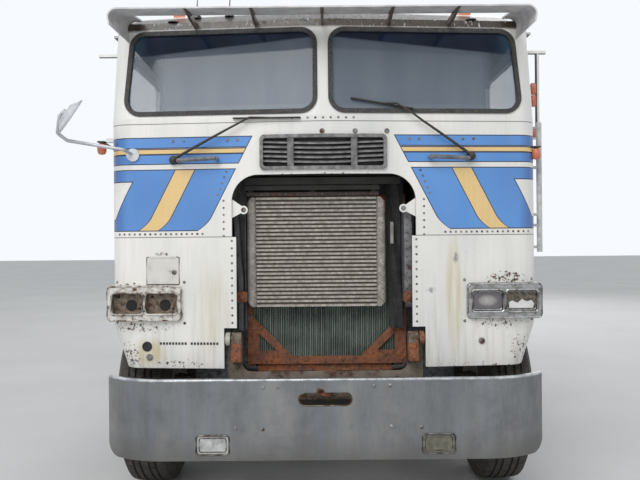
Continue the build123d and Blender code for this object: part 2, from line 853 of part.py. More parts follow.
def door_box(shrink):
    """The door opening, or the door itself when it is shrunk by the gap."""
    return block(
        CAB_HALF_WIDTH - 3 * CAB_WALL, CAB_HALF_WIDTH + 1, DOOR_FRONT_Y + shrink, DOOR_REAR_Y - shrink,
        DOOR_BOTTOM_Z + shrink, DOOR_TOP_Z - shrink
    )


def hinge_leaf(z, length, side):
    """A hinge knuckle and the leaf that carries it: side 1 is the door's, -1 the wall's."""
    knuckle = Pos(HINGE_X, HINGE_Y, z) * Cylinder(HINGE_RADIUS, length)
    near = HINGE_Y + side * (DOOR_GAP / 2)
    far = HINGE_Y + side * HINGE_LEAF
    plate = block(CAB_HALF_WIDTH, HINGE_X, min(near, far), max(near, far), z - length / 2, z + length / 2)
    return knuckle + plate


def door_window():
    """The door window as a prism through the door."""
    width = DOOR_WIDTH - 2 * WINDOW_MARGIN
    height = WINDOW_TOP_Z - WINDOW_BOTTOM_Z
    middle = Pos(DOOR_FRONT_Y + DOOR_WIDTH / 2, (WINDOW_TOP_Z + WINDOW_BOTTOM_Z) / 2)
    sketch = middle * RectangleRounded(width, height, WINDOW_CORNER)
    return across(sketch, CAB_HALF_WIDTH - 3 * CAB_WALL, CAB_HALF_WIDTH + 1)


def door():
    """The whole thickness of the door, with its window, a pressed panel, hinges and a handle."""
    panel = (CAB_SHELL & door_box(DOOR_GAP)) - door_window()
    bottom = DOOR_BOTTOM_Z + PRESSING_MARGIN
    middle = Pos(DOOR_FRONT_Y + DOOR_WIDTH / 2, (bottom + PRESSING_TOP_Z) / 2)
    pressing = middle * RectangleRounded(
        DOOR_WIDTH - 2 * PRESSING_MARGIN, PRESSING_TOP_Z - bottom, PRESSING_CORNER
    )
    panel -= across(pressing, CAB_HALF_WIDTH - PRESSING_DEPTH, CAB_HALF_WIDTH + 1)
    for z in HINGES_Z:
        panel += hinge_leaf(z, HINGE_LENGTH, 1)
    x = CAB_HALF_WIDTH
    y = DOOR_REAR_Y - HANDLE_FROM_REAR
    return panel + block(x, x + HANDLE_PROUD, y - HANDLE_LENGTH, y, HANDLE_Z, HANDLE_Z + HANDLE_HEIGHT)


def pane_layer(prism):
    """A pane of glass: a thin layer of the cab's envelope inside a window's outline."""
    return (cab_block(GLASS_INSET) - cab_block(GLASS_INSET + GLASS_THICKNESS)) & prism


def cab_glass():
    """The two screens inside their seals and the sleeper's two windows."""
    return both_sides(pane_layer(screen_prism(SEAL_WIDTH))) + both_sides(pane_layer(sleeper_window()))


def windshield_seal():
    """A rubber ring round one pane, a little proud of the face."""
    ring = screen_prism(0) - screen_prism(SEAL_WIDTH)
    return (cab_block(-SEAL_PROUD) - cab_block(SEAL_DEPTH)) & ring


def intake_louvre():
    """The intake's rounded frame, its slanted slats and two dividers, following the face."""
    inner_width = LOUVRE_WIDTH - 2 * LOUVRE_RIM
    inner_height = LOUVRE_HEIGHT - 2 * LOUVRE_RIM
    outline = RectangleRounded(LOUVRE_WIDTH, LOUVRE_HEIGHT, LOUVRE_CORNER)
    hole = RectangleRounded(inner_width, inner_height, LOUVRE_CORNER - LOUVRE_RIM / 2)
    frame = along(Pos(0, LOUVRE_Z) * (outline - hole), NOSE, FRONT_SPLIT_Y)
    frame &= cab_block(-LOUVRE_PROUD) - cab_block(LOUVRE_DEPTH)
    bars = Sketch()
    for x in (-LOUVRE_DIVIDER_X, LOUVRE_DIVIDER_X):
        bars += Pos(x, LOUVRE_Z) * Rectangle(LOUVRE_DIVIDER, inner_height)
    inside = along(bars, NOSE, FRONT_SPLIT_Y)
    pitch = inner_height / (LOUVRE_SLATS + 1)
    y0 = CAB_FACE_Y
    y1 = y0 + LOUVRE_DEPTH + FACE_SWEEP
    rise = LOUVRE_SLAT_RISE * (y1 - y0) / LOUVRE_SLAT_DEPTH
    for index in range(LOUVRE_SLATS):
        z = LOUVRE_Z - inner_height / 2 + pitch * (index + 1) - LOUVRE_SLAT_RISE
        slat = polygon((y0, z), (y1, z + rise), (y1, z + rise + LOUVRE_SLAT), (y0, z + LOUVRE_SLAT))
        inside += across(slat, -inner_width / 2, inner_width / 2)
    return frame + (inside & (CAB_SOLID - cab_block(LOUVRE_SLAT_DEPTH)))


def rear_wall():
    """The rear wall with upright ribs pressed outwards."""
    zone = block(-CAB_HALF_WIDTH, CAB_HALF_WIDTH, REAR_SPLIT_Y, CAB_REAR_Y, SIDE_BOTTOM_Z, ROOF_LINE_Z)
    wall = CAB_SHELL & zone
    for index in range(REAR_RIBS):
        x = (index - (REAR_RIBS - 1) / 2) * REAR_RIB_PITCH
        rib = Pos(x, (REAR_RIB_TOP + REAR_RIB_BOTTOM) / 2) * SlotOverall(
            REAR_RIB_TOP - REAR_RIB_BOTTOM, REAR_RIB_WIDTH, rotation=90
        )
        wall += along(rib, CAB_REAR_Y - CAB_WALL, CAB_REAR_Y + REAR_RIB_PROUD)
    return wall


def roof():
    return roof_cap(0, ROOF_TOP_Z) - roof_cap(CAB_WALL, ROOF_TOP_Z - CAB_WALL)


def pivot_arm():
    """The arm under the floor that turns on the pivot's pin."""
    foot_front, foot_rear = PIVOT_ARM_FOOT
    arm = polygon(
        (PIVOT_Y + PIVOT_ARM_RADIUS / 2, PIVOT_Z + PIVOT_ARM_RADIUS),
        (PIVOT_Y + PIVOT_ARM_RADIUS, PIVOT_Z),
        (PIVOT_Y + PIVOT_ARM_RUN, PIVOT_Z + PIVOT_ARM_RISE),
        (PIVOT_Y + foot_rear, FLOOR_Z),
        (PIVOT_Y + foot_front, FLOOR_Z),
    )
    solid = across(arm, PIVOT_ARM_IN, PIVOT_ARM_OUT)
    solid += barrel(PIVOT_ARM_IN, PIVOT_ARM_OUT, PIVOT_Y, PIVOT_Z, PIVOT_ARM_RADIUS)
    return solid - barrel(PIVOT_ARM_IN, PIVOT_ARM_OUT, PIVOT_Y, PIVOT_Z, PIVOT_PIN_RADIUS + PIN_CLEARANCE)


def cab_floor():
    """The floor on both sides, the stepped engine tunnel between them and the arms of the cab pivots."""
    half = CAB_HALF_WIDTH
    inner = TUNNEL_HALF_WIDTH
    outer = inner + TUNNEL_WALL
    step_y = NOSE + TUNNEL_STEP_BACK
    slab = block(-half, half, NOSE, CAB_REAR_Y, FLOOR_Z, FLOOR_Z + FLOOR_THICKNESS)
    cover = block(-outer, outer, NOSE, step_y + TUNNEL_WALL, FLOOR_Z, TUNNEL_FRONT_Z + TUNNEL_WALL)
    cover += block(-outer, outer, step_y, CAB_REAR_Y, FLOOR_Z, TUNNEL_REAR_Z + TUNNEL_WALL)
    hollow = block(-inner, inner, NOSE, step_y, 0, TUNNEL_FRONT_Z)
    hollow += block(-inner, inner, NOSE, CAB_REAR_Y, 0, TUNNEL_REAR_Z)
    return joined(((slab + cover) & CAB_ROOM) - hollow, both_sides(pivot_arm()))


def visor_section(back, top, half):
    """The visor across the cab at one station: a flat top that bends down into a cheek at each end."""

    def arch(inset):
        width = half - inset
        foot = width - VISOR_TUCK
        height = top - inset
        outline = polygon((-foot, VISOR_END_Z), (-width, height), (width, height), (foot, VISOR_END_Z))
        return fillet(corners_at(outline, height), VISOR_CORNER - inset)

    return Plane.XZ.offset(-(NOSE + back)) * (arch(0) - arch(VISOR_SHEET))


def visor():
    """The visor: a sheet with cheeks that run back to the cab's corners, on five brackets."""
    front_back = -VISOR_OVERHANG
    sections = [
        visor_section(front_back, VISOR_FRONT_Z, VISOR_FRONT_HALF_WIDTH),
        visor_section(VISOR_REAR_BACK, VISOR_REAR_Z, VISOR_REAR_HALF_WIDTH),
    ]
    gap = VISOR_GAP_HALF_WIDTH
    y_gap = NOSE + VISOR_GAP_BACK
    sheet = loft(sections, ruled=True)
    sheet -= block(-gap, gap, y_gap, NOSE + VISOR_REAR_BACK, VISOR_END_Z, ROOF_TOP_Z)
    slope = (VISOR_REAR_Z - VISOR_FRONT_Z) / (VISOR_REAR_BACK - front_back)

    def underside(y):
        return VISOR_FRONT_Z - VISOR_SHEET + slope * (y - NOSE - front_back)

    y_front = NOSE + front_back + VISOR_BRACKET_FRONT
    foot = ROOF_LINE_Z - VISOR_BRACKET_FOOT
    for x in VISOR_BRACKETS_X:
        y_seat = face_y(x) + SCREEN_LEAN + VISOR_BRACKET_FOOT
        profile = polygon(
            (y_front, underside(y_front)), (y_gap, underside(y_gap)), (y_seat, ROOF_LINE_Z), (y_seat, foot),
            (y_gap - VISOR_BRACKET_FRONT, underside(y_gap) - VISOR_BRACKET_FOOT)
        )
        sheet += across(profile, x - VISOR_BRACKET_WIDTH / 2, x + VISOR_BRACKET_WIDTH / 2)
    return sheet - roof_cap(0, ROOF_TOP_Z) - CAB_SOLID


def marker_lamps():
    """A round amber lamp on each side of the roof's front edge and a small square one between them."""
    lamps = []
    below = block(-CAB_HALF_WIDTH, CAB_HALF_WIDTH, NOSE, CAB_REAR_Y, 0, ROOF_TOP_Z)
    edge = SCREEN_LEAN + ROOF_CROWN_INSET + MARKER_FROM_EDGE
    for x in MARKERS_X:
        place = Pos(x, face_y(x) + edge, ROOF_TOP_Z + MARKER_RADIUS / 2)
        lamps.append(place * Rot(90, 0, 0) * Cylinder(MARKER_RADIUS, MARKER_LENGTH) - below)
    width, depth, height = CENTRE_MARKER
    lamps.append(Pos(0, CAB_FACE_Y + edge, ROOF_TOP_Z + height / 2) * Box(width, depth, height))
    return lamps


def bumper_plan(inset):
    """The bumper's plan: flat across the middle with ends that sweep back in an arc."""
    half = BUMPER_HALF_WIDTH - inset
    y_front = NOSE + inset
    y_end = NOSE + BUMPER_SWEEP
    right = TangentArc((BUMPER_FLAT, y_front), (half, y_end), tangent=(1, 0))
    left = TangentArc((-BUMPER_FLAT, y_front), (-half, y_end), tangent=(-1, 0))
    flat = Line((-BUMPER_FLAT, y_front), (BUMPER_FLAT, y_front))
    back = Line((-half, y_end), (half, y_end))
    return make_face(left + flat + right + back)


def bumper():
    """A pressed channel with rolled flanges, a torn tow slot, two lamp openings and its arms."""
    shell = upward(bumper_plan(0) - bumper_plan(BUMPER_WALL), BUMPER_BOTTOM, BUMPER_TOP)
    flange = bumper_plan(BUMPER_WALL) - bumper_plan(BUMPER_FLANGE)
    shell += upward(flange, BUMPER_TOP - BUMPER_WALL, BUMPER_TOP)
    shell += upward(flange, BUMPER_BOTTOM, BUMPER_BOTTOM + BUMPER_WALL)
    y0 = NOSE - 1
    y1 = NOSE + BUMPER_SWEEP
    middle = (BUMPER_BOTTOM + BUMPER_TOP) / 2
    outline = Pos(0, middle) * Rectangle(2 * BUMPER_HALF_WIDTH, BUMPER_TOP - BUMPER_BOTTOM)
    shell &= along(fillet(corners_at(outline, BUMPER_BOTTOM), BUMPER_LOWER_CORNER), y0, y1)
    slot = Pos(0, TOW_SLOT_Z) * SlotOverall(TOW_SLOT_WIDTH, TOW_SLOT_HEIGHT)
    shell -= along(slot + polygon(*TORN_NOTCH), y0, y1)
    for cut in both_sides(along(driving_lamp_sketch(0, 0), y0, y1)):
        shell -= cut
    arm = block(*BUMPER_ARM_X, NOSE + BUMPER_WALL, NOSE + CROSS_BACK, *BUMPER_ARM_HEIGHTS)
    return joined(shell, both_sides(arm))


def driving_lamp_sketch(narrower, lower):
    """The driving lamp's outline in (x, z), or a smaller one inside it."""
    width = DRIVING_LAMP_WIDTH - 2 * narrower
    height = DRIVING_LAMP_HEIGHT - 2 * lower
    corner = DRIVING_LAMP_CORNER - min(narrower, lower) / 2
    return Pos(DRIVING_LAMP_X, DRIVING_LAMP_Z) * RectangleRounded(width, height, corner)


def driving_lamps():
    """A rectangular lamp in each of the bumper's lower openings, with a tapered housing behind."""
    face = driving_lamp_sketch(SEAT_GAP, SEAT_GAP)
    y_rim = NOSE + DRIVING_LAMP_RIM
    sections = [
        Plane.XZ.offset(-y_rim) * face,
        Plane.XZ.offset(-(NOSE + DRIVING_LAMP_DEPTH)) * driving_lamp_sketch(*DRIVING_LAMP_TAPER),
    ]
    return both_sides(along(face, NOSE + DRIVING_LAMP_RECESS, y_rim) + loft(sections, ruled=True))


def pivot_bracket():
    """The bracket on the crossmember that holds one cab pivot pin."""
    y0 = NOSE + CROSS_BACK
    low = CROSS_SIDE_TOP - PIVOT_BRACKET_LAP
    foot = polygon(
        (PIVOT_Y - PIVOT_ARM_RADIUS, PIVOT_Z), (PIVOT_Y + PIVOT_ARM_RADIUS, PIVOT_Z),
        (y0 + CROSS_PLATE, CROSS_SIDE_TOP), (y0 + CROSS_PLATE, low), (y0, low),
        (PIVOT_Y - PIVOT_ARM_RADIUS, PIVOT_Z - PIVOT_BRACKET_LAP)
    )
    bracket = across(foot, PIVOT_BRACKET_IN, PIVOT_BRACKET_OUT)
    bracket += barrel(PIVOT_BRACKET_IN, PIVOT_BRACKET_OUT, PIVOT_Y, PIVOT_Z, PIVOT_ARM_RADIUS)
    pin_end = PIVOT_ARM_OUT + PIVOT_PIN_END
    return bracket + barrel(PIVOT_BRACKET_IN, pin_end, PIVOT_Y, PIVOT_Z, PIVOT_PIN_RADIUS)


def frame_horn():
    """The plate that carries the crossmember from the end of a rail."""
    y1 = NOSE + CROSS_BACK + CROSS_DEPTH
    y_lap = RAIL_START_Y + HORN_LAP
    z_lap = RAIL_TOP - HORN_LAP_DROP
    horn = polygon(
        (y1, HORN_BOTTOM), (y1, HORN_TOP), (RAIL_START_Y - HORN_STEP, HORN_TOP), (RAIL_START_Y, z_lap),
        (y_lap, z_lap), (y_lap, RAIL_BOTTOM), (RAIL_START_Y + HORN_HEEL, HORN_BOTTOM)
    )
    return across(horn, RAIL_HALF_SPREAD, RAIL_HALF_SPREAD + HORN_THICKNESS)


def front_crossmember():
    """The front channel, its cut-down face plate, the frame horns and the two pivot brackets."""
    y0 = NOSE + CROSS_BACK
    half = CROSS_HALF_WIDTH
    middle = CROSS_CUT_HALF_WIDTH
    plate = polygon(
        (-half, CROSS_BOTTOM), (half, CROSS_BOTTOM), (half, CROSS_SIDE_TOP), (middle, CROSS_SIDE_TOP),
        (middle, CROSS_MIDDLE_TOP), (-middle, CROSS_MIDDLE_TOP), (-middle, CROSS_SIDE_TOP),
        (-half, CROSS_SIDE_TOP)
    )
    plate = fillet(corners_at(plate, CROSS_MIDDLE_TOP), CROSS_CUT_RADIUS)
    channel = along(plate, y0, y0 + CROSS_PLATE)
    channel += block(-half, half, y0, y0 + CROSS_DEPTH, CROSS_BOTTOM, CHANNEL_TOP)
    return joined(channel, both_sides(frame_horn()) + both_sides(pivot_bracket()))


def frame_rails():
    """Two channel rails that face each other."""
    outer = RAIL_HALF_SPREAD
    rail = block(outer - RAIL_THICKNESS, outer, RAIL_START_Y, RAIL_END_Y, RAIL_BOTTOM, RAIL_TOP)
    for z in (RAIL_BOTTOM, RAIL_TOP - RAIL_THICKNESS):
        rail += block(outer - RAIL_FLANGE, outer, RAIL_START_Y, RAIL_END_Y, z, z + RAIL_THICKNESS)
    return both_sides(rail)


def crossmembers():
    """I-section members between the rails' webs, pierced where the driveshaft passes."""
    half = RAIL_HALF_SPREAD - RAIL_THICKNESS
    bottom = RAIL_BOTTOM + RAIL_THICKNESS
    top = RAIL_TOP - RAIL_THICKNESS
    places = (
        GEARBOX_REAR_Y + CROSSMEMBER_BEHIND_GEARBOX,
        DRIVE_AXLES_Y["fore"] - CROSSMEMBER_BEFORE_AXLE,
        BOGIE_Y,
        RAIL_END_Y - CROSSMEMBER_FROM_END,
    )
    members = []
    for y in places:
        member = block(-half, half, y - CROSSMEMBER_WEB / 2, y + CROSSMEMBER_WEB / 2, bottom, top)
        for z in (bottom, top - CROSSMEMBER_FLANGE):
            member += block(
                -half, half, y - CROSSMEMBER_WIDTH / 2, y + CROSSMEMBER_WIDTH / 2, z, z + CROSSMEMBER_FLANGE
            )
        members.append(member - shaft_line(SHAFT_RADIUS + SHAFT_HOLE_GAP))
    return members


def radiator_frame():
    """Side rails, tanks, a pierced gusset in each lower corner, seats on the horns and a lower beam."""
    y0 = NOSE + RADIATOR_BACK
    y1 = y0 + RADIATOR_DEPTH
    left = RADIATOR_LEFT + RADIATOR_SIDE
    right = RADIATOR_RIGHT - RADIATOR_SIDE
    low = RADIATOR_BOTTOM + BOTTOM_TANK
    frame = block(RADIATOR_LEFT, RADIATOR_RIGHT, y0, y1, RADIATOR_BOTTOM, RADIATOR_TOP)
    frame -= block(left, right, y0, y1, low, RADIATOR_TOP - TOP_TANK)
    near, far = GUSSET_HOLE
    for side, edge in ((1, left), (-1, right)):
        gusset = polygon((edge, low), (edge, low + GUSSET), (edge + side * GUSSET, low))
        hole = polygon((edge + side * near, low + near), (edge + side * near, low + far),
                       (edge + side * far, low + near))
        frame += along(gusset - hole, y0, y0 + GUSSET_THICKNESS)
    horn = RAIL_HALF_SPREAD + HORN_THICKNESS
    y_foot = y0 + FOOT_INSET
    for x0, x1 in ((-horn, left), (right, horn)):
        frame += block(x0, x1, y_foot, y1 - FOOT_INSET, HORN_TOP, RADIATOR_BOTTOM)
    beam_z = RADIATOR_BOTTOM - LOWER_BEAM_HEIGHT
    frame += block(-LOWER_BEAM_HALF, LOWER_BEAM_HALF, y_foot, y1, beam_z, RADIATOR_BOTTOM)
    lug_left, lug_right, lug_height = LOWER_LUG
    return frame + block(lug_left, lug_right, y_foot, y1, beam_z - lug_height, beam_z)


def radiator_core():
    """The finned core: a slab with upright ribs on its front."""
    y0 = NOSE + RADIATOR_BACK + CORE_RECESS
    x0 = RADIATOR_LEFT + RADIATOR_SIDE
    x1 = RADIATOR_RIGHT - RADIATOR_SIDE
    z0 = RADIATOR_BOTTOM + BOTTOM_TANK
    z1 = RADIATOR_TOP - TOP_TANK
    core = block(x0, x1, y0 + FIN_DEPTH, y0 + CORE_DEPTH, z0, z1)
    for index in range(int((x1 - x0) / FIN_PITCH)):
        x = x0 + FIN_PITCH * (index + 0.5)
        core += block(x - FIN_WIDTH / 2, x + FIN_WIDTH / 2, y0, y0 + FIN_DEPTH, z0, z1)
    return core


def cooler_tank():
    """The passenger side tank: rounded in front, with its outer corners cut away."""
    x0 = COOLER_LEFT
    x1 = x0 + COOLER_TANK
    y0 = NOSE + COOLER_BACK
    y1 = y0 + COOLER_DEPTH
    cut = COOLER_TANK_CHAMFER
    outline = polygon(
        (x0 + cut, COOLER_BOTTOM), (x1, COOLER_BOTTOM), (x1, COOLER_TOP), (x0 + cut, COOLER_TOP),
        (x0, COOLER_TOP - cut), (x0, COOLER_BOTTOM + cut)
    )
    plan = polygon((x0, y0), (x1, y0), (x1, y1), (x0, y1))
    plan = fillet(corners_at(plan, y0), COOLER_TANK_CORNER)
    return along(outline, y0, y1) & upward(plan, COOLER_BOTTOM, COOLER_TOP)


def charge_air_cooler():
    """Two tanks joined by flat tubes that stand proud of the fins, between a top and a bottom rail."""
    y0 = NOSE + COOLER_BACK
    x0 = COOLER_LEFT + COOLER_TANK
    x1 = COOLER_RIGHT - COOLER_TANK
    centre = (COOLER_LEFT + COOLER_RIGHT) / 2
    tank = cooler_tank()
    cooler = tank + mirror(tank, about=Plane.YZ.offset(centre))
    cooler += block(x0, x1, y0 + COOLER_FIN_FRONT, y0 + COOLER_FIN_REAR, COOLER_BOTTOM, COOLER_TOP)
    for z in (COOLER_BOTTOM, COOLER_TOP - COOLER_RAIL):
        cooler += block(x0, x1, y0 + COOLER_TUBE_FRONT, y0 + COOLER_FIN_REAR, z, z + COOLER_RAIL)
    count = int((COOLER_TOP - COOLER_BOTTOM - 2 * COOLER_RAIL) / COOLER_TUBE_PITCH)
    first = (COOLER_TOP + COOLER_BOTTOM - COOLER_TUBE_PITCH * (count - 1)) / 2
    for index in range(count):
        z = first + COOLER_TUBE_PITCH * index - COOLER_TUBE_HEIGHT / 2
        cooler += block(x0, x1, y0 + COOLER_TUBE_FRONT, y0 + COOLER_FIN_FRONT, z, z + COOLER_TUBE_HEIGHT)
    return cooler


def engine():
    """The engine as one plain block with its gearbox, on feet that rest on the rails."""
    half = ENGINE_HALF_WIDTH
    body = block(-half, half, ENGINE_START_Y, ENGINE_REAR_Y, ENGINE_BOTTOM, ENGINE_TOP)
    body += cone_along(ENGINE_REAR_Y, GEARBOX_REAR_Y, GEARBOX_Z, GEARBOX_RADIUS, GEARBOX_TAIL_RADIUS)
    reach = RAIL_HALF_SPREAD - ENGINE_FOOT_INSET
    length = ENGINE_FOOT_LENGTH / 2
    for y in (ENGINE_START_Y + ENGINE_FOOT_FROM_END, ENGINE_REAR_Y - ENGINE_FOOT_FROM_END):
        foot = block(half, reach, y - length, y + length, RAIL_TOP, RAIL_TOP + ENGINE_FOOT_HEIGHT)
        body = joined(body, both_sides(foot))
    return body


def front_axle():
    """A dropped beam with spring pads and a bored boss for the kingpin at each end."""
    z = TYRE_RADIUS
    low = z - BEAM_DROP
    end = BEAM_END_HALF_HEIGHT
    shoulder = KINGPIN_X - BEAM_END_LENGTH
    right = [
        (BEAM_LEVEL_HALF, low - BEAM_HALF_HEIGHT), (shoulder, z - end), (KINGPIN_X, z - end),
        (KINGPIN_X, z + end), (shoulder, z + end), (BEAM_LEVEL_HALF, low + BEAM_HALF_HEIGHT),
    ]
    left = [(-x, height) for x, height in reversed(right)]
    beam = along(polygon(*right, *left), FRONT_AXLE_Y - BEAM_HALF_DEPTH, FRONT_AXLE_Y + BEAM_HALF_DEPTH)
    boss = Cylinder(KINGPIN_BOSS_RADIUS, 2 * KINGPIN_BOSS_HALF)
    bore = Cylinder(KINGPIN_RADIUS + PIN_CLEARANCE, 2 * KINGPIN_BOSS_HALF)
    for x in (-KINGPIN_X, KINGPIN_X):
        place = Pos(x, FRONT_AXLE_Y, z)
        beam = beam + place * boss - place * bore
    pad = block(
        SPRING_X - SPRING_WIDTH / 2, SPRING_X + SPRING_WIDTH / 2, FRONT_AXLE_Y - SPRING_PAD / 2,
        FRONT_AXLE_Y + SPRING_PAD / 2, low, SPRING_LOW
    )
    return joined(beam, both_sides(pad))


def front_springs():
    """A curved leaf pack on each side, hung from the horns at the front and the rail at the rear."""
    y = FRONT_AXLE_Y
    y_front = y - SPRING_HALF_LENGTH
    y_rear = y + SPRING_HALF_LENGTH
    low = SPRING_EYE_Z - SPRING_TIP / 2
    high = SPRING_EYE_Z + SPRING_TIP / 2
    under = ThreePointArc((y_front, low), (y, SPRING_LOW), (y_rear, low))
    over = ThreePointArc((y_front, high), (y, SPRING_LOW + SPRING_THICKNESS), (y_rear, high))
    outline = under + over + Line((y_front, low), (y_front, high)) + Line((y_rear, low), (y_rear, high))
    x0 = SPRING_X - SPRING_WIDTH / 2
    x1 = SPRING_X + SPRING_WIDTH / 2
    pack = across(make_face(outline), x0, x1)
    for y_eye in (y_front, y_rear):
        pack += barrel(x0, x1, y_eye, SPRING_EYE_Z, SPRING_EYE_RADIUS)
    x_hanger = RAIL_HALF_SPREAD + HORN_THICKNESS / 2 - SHACKLE_WIDTH / 2
    y_hanger = y_front + 2 * SHACKLE_HALF
    pack += block(x_hanger, x_hanger + SHACKLE_WIDTH, y_front, y_hanger, SPRING_EYE_Z, HORN_BOTTOM)
    x_shackle = RAIL_HALF_SPREAD - SHACKLE_WIDTH
    y_shackle = y_rear - SHACKLE_HALF
    pack += block(
        x_shackle, RAIL_HALF_SPREAD, y_shackle, y_shackle + 2 * SHACKLE_HALF, SPRING_EYE_Z, RAIL_BOTTOM
    )
    return both_sides(pack)


def knuckle():
    """The driver's side stub axle: two ears on the kingpin, the spindle and the steering arm."""
    z = TYRE_RADIUS
    y = FRONT_AXLE_Y
    ear_low = KINGPIN_BOSS_HALF + KNUCKLE_EAR_GAP
    ear_high = ear_low + KNUCKLE_EAR
    boss = KINGPIN_BOSS_RADIUS
    body = Pos(KINGPIN_X, y, z) * Cylinder(KINGPIN_RADIUS, 2 * ear_high)
    for z_ear in (z + ear_low, z - ear_high):
        body += Pos(KINGPIN_X, y, z_ear + KNUCKLE_EAR / 2) * Cylinder(boss, KNUCKLE_EAR)
        body += block(KINGPIN_X, KNUCKLE_PLATE_X, y - boss, y + boss, z_ear, z_ear + KNUCKLE_EAR)
    body += block(
        KINGPIN_X + boss + KNUCKLE_WEB_GAP, KNUCKLE_PLATE_X, y - KNUCKLE_PLATE_HALF, y + KNUCKLE_PLATE_HALF,
        z - ear_high, z + ear_high
    )
    body += barrel(KNUCKLE_PLATE_X, FRONT_WHEEL_X + SPINDLE_REACH, y, z, SPINDLE_RADIUS)
    end = STEERING_ARM_END
    tip = Pos(KINGPIN_X, TIE_ROD_Y)
    arm = polygon(
        (KNUCKLE_PLATE_X, y - boss), (KNUCKLE_PLATE_X, y + KNUCKLE_PLATE_HALF), (KINGPIN_X + end, TIE_ROD_Y),
        (KINGPIN_X - end, TIE_ROD_Y), (KINGPIN_X - end, y - boss)
    )
    arm = arm + tip * Circle(end) - tip * Circle(TIE_PIN_RADIUS + PIN_CLEARANCE)
    return body + upward(arm, STEERING_ARM_TOP - STEERING_ARM, STEERING_ARM_TOP)


def tie_rod():
    """The rod between the two steering arms, with a round end and a pin up into each arm."""
    z = STEERING_ARM_TOP - STEERING_ARM - TIE_ROD_GAP - TIE_ROD_RADIUS
    body = barrel(-KINGPIN_X, KINGPIN_X, TIE_ROD_Y, z, TIE_ROD_RADIUS)
    for x in (-KINGPIN_X, KINGPIN_X):
        body += Pos(x, TIE_ROD_Y, z) * Cylinder(TIE_END_RADIUS, 2 * TIE_ROD_RADIUS)
        body += Pos(x, TIE_ROD_Y, 0) * upward(Circle(TIE_PIN_RADIUS), z, STEERING_ARM_TOP)
    return body


def tyre(x, y):
    """One tyre: tread, shoulders and bulging side walls, turned about the axle."""
    half = TYRE_WIDTH / 2
    tread = TREAD_WIDTH / 2
    seat = RIM_WIDTH / 2 - BEAD_INSET
    wall = half - SIDEWALL_TAPER
    middle = (BEAD_RADIUS + TYRE_RADIUS) / 2
    right = [
        (tread - SHOULDER_DROP, TYRE_RADIUS), (tread, TYRE_RADIUS - SHOULDER_STEP),
        (wall, middle + SIDEWALL_SPAN), (half, middle), (wall, middle - SIDEWALL_SPAN),
        (seat, BEAD_RADIUS + RIM_FLANGE), (seat, BEAD_RADIUS),
    ]
    left = [(-offset, radius) for offset, radius in reversed(right)]
    return Pos(x, y, TYRE_RADIUS) * revolve(polygon(*right, *left), axis=Axis.X)


def wheel_rim(x, y, disc_offset, bore_radius, hub_inner, hub_outer):
    """A disc wheel: barrel, dished disc with hand holes and the hub, turned about the axle."""
    half = RIM_WIDTH / 2
    outer = BEAD_RADIUS
    inner = BEAD_RADIUS - RIM_WALL
    flange = outer + RIM_FLANGE
    ring = polygon(
        (-half, flange), (-half + RIM_LIP, flange), (-half + RIM_LIP, outer), (half - RIM_LIP, outer),
        (half - RIM_LIP, flange), (half, flange), (half, inner), (-half, inner)
    )
    side = 1 if disc_offset >= 0 else -1
    bolt_face = disc_offset + side * DISC_THICKNESS
    foot = inner + DISC_FOOT
    disc = polygon(
        (disc_offset, bore_radius), (bolt_face, bore_radius), (bolt_face, DISC_DISH_RADIUS),
        (side * (DISC_THICKNESS + DISC_FOOT), foot), (side * DISC_FOOT, foot), (disc_offset, DISC_DISH_RADIUS)
    )
    body = revolve(ring, axis=Axis.X) + revolve(disc, axis=Axis.X)
    for index in range(HAND_HOLES):
        angle = math.radians(90 + index * 360 / HAND_HOLES)
        y_hole = HAND_HOLE_CIRCLE * math.cos(angle)
        z_hole = HAND_HOLE_CIRCLE * math.sin(angle)
        body -= barrel(-half, half, y_hole, z_hole, HAND_HOLE_RADIUS)
    hub = across(Circle(HUB_RADIUS) - Circle(bore_radius), hub_inner, hub_outer)
    return Pos(x, y, TYRE_RADIUS) * (body + hub)


def brake_drum(x, y, bore_radius):
    ring = Circle(DRUM_RADIUS) - Circle(bore_radius)
    return Pos(0, y, TYRE_RADIUS) * across(ring, x - DRUM_INBOARD, x + DRUM_OUTBOARD)


def front_rim():
    """The front wheel's rim with its hub cap and brake drum."""
    bore = SPINDLE_RADIUS + PIN_CLEARANCE
    body = wheel_rim(FRONT_WHEEL_X, FRONT_AXLE_Y, FRONT_DISC_OFFSET, bore, FRONT_HUB_INNER, FRONT_HUB_OUTER)
    cap_x = FRONT_WHEEL_X + FRONT_HUB_OUTER
    cap = barrel(cap_x, cap_x + HUB_CAP_LENGTH, FRONT_AXLE_Y, TYRE_RADIUS, HUB_CAP_RADIUS)
    return body + cap + brake_drum(FRONT_WHEEL_X, FRONT_AXLE_Y, bore)


def dual_rims(y):
    """Two rims back to back, each on its half of the hub, with the brake drum on the inner one."""
    bore = REAR_SPINDLE_RADIUS + PIN_CLEARANCE
    reach = DUAL_SPACING / 2 - SEAT_GAP / 2
    inner = wheel_rim(DUAL_INNER_X, y, reach - DISC_THICKNESS, bore, DUAL_HUB_INNER, reach)
    outer = wheel_rim(DUAL_OUTER_X, y, DISC_THICKNESS - reach, bore, -reach, DUAL_HUB_OUTER)
    shaft_end = barrel(
        DUAL_OUTER_X + DUAL_HUB_OUTER, DUAL_OUTER_X + AXLE_SHAFT_REACH, y, TYRE_RADIUS, HUB_CAP_RADIUS
    )
    return [inner + brake_drum(DUAL_INNER_X, y, bore), outer + shaft_end]


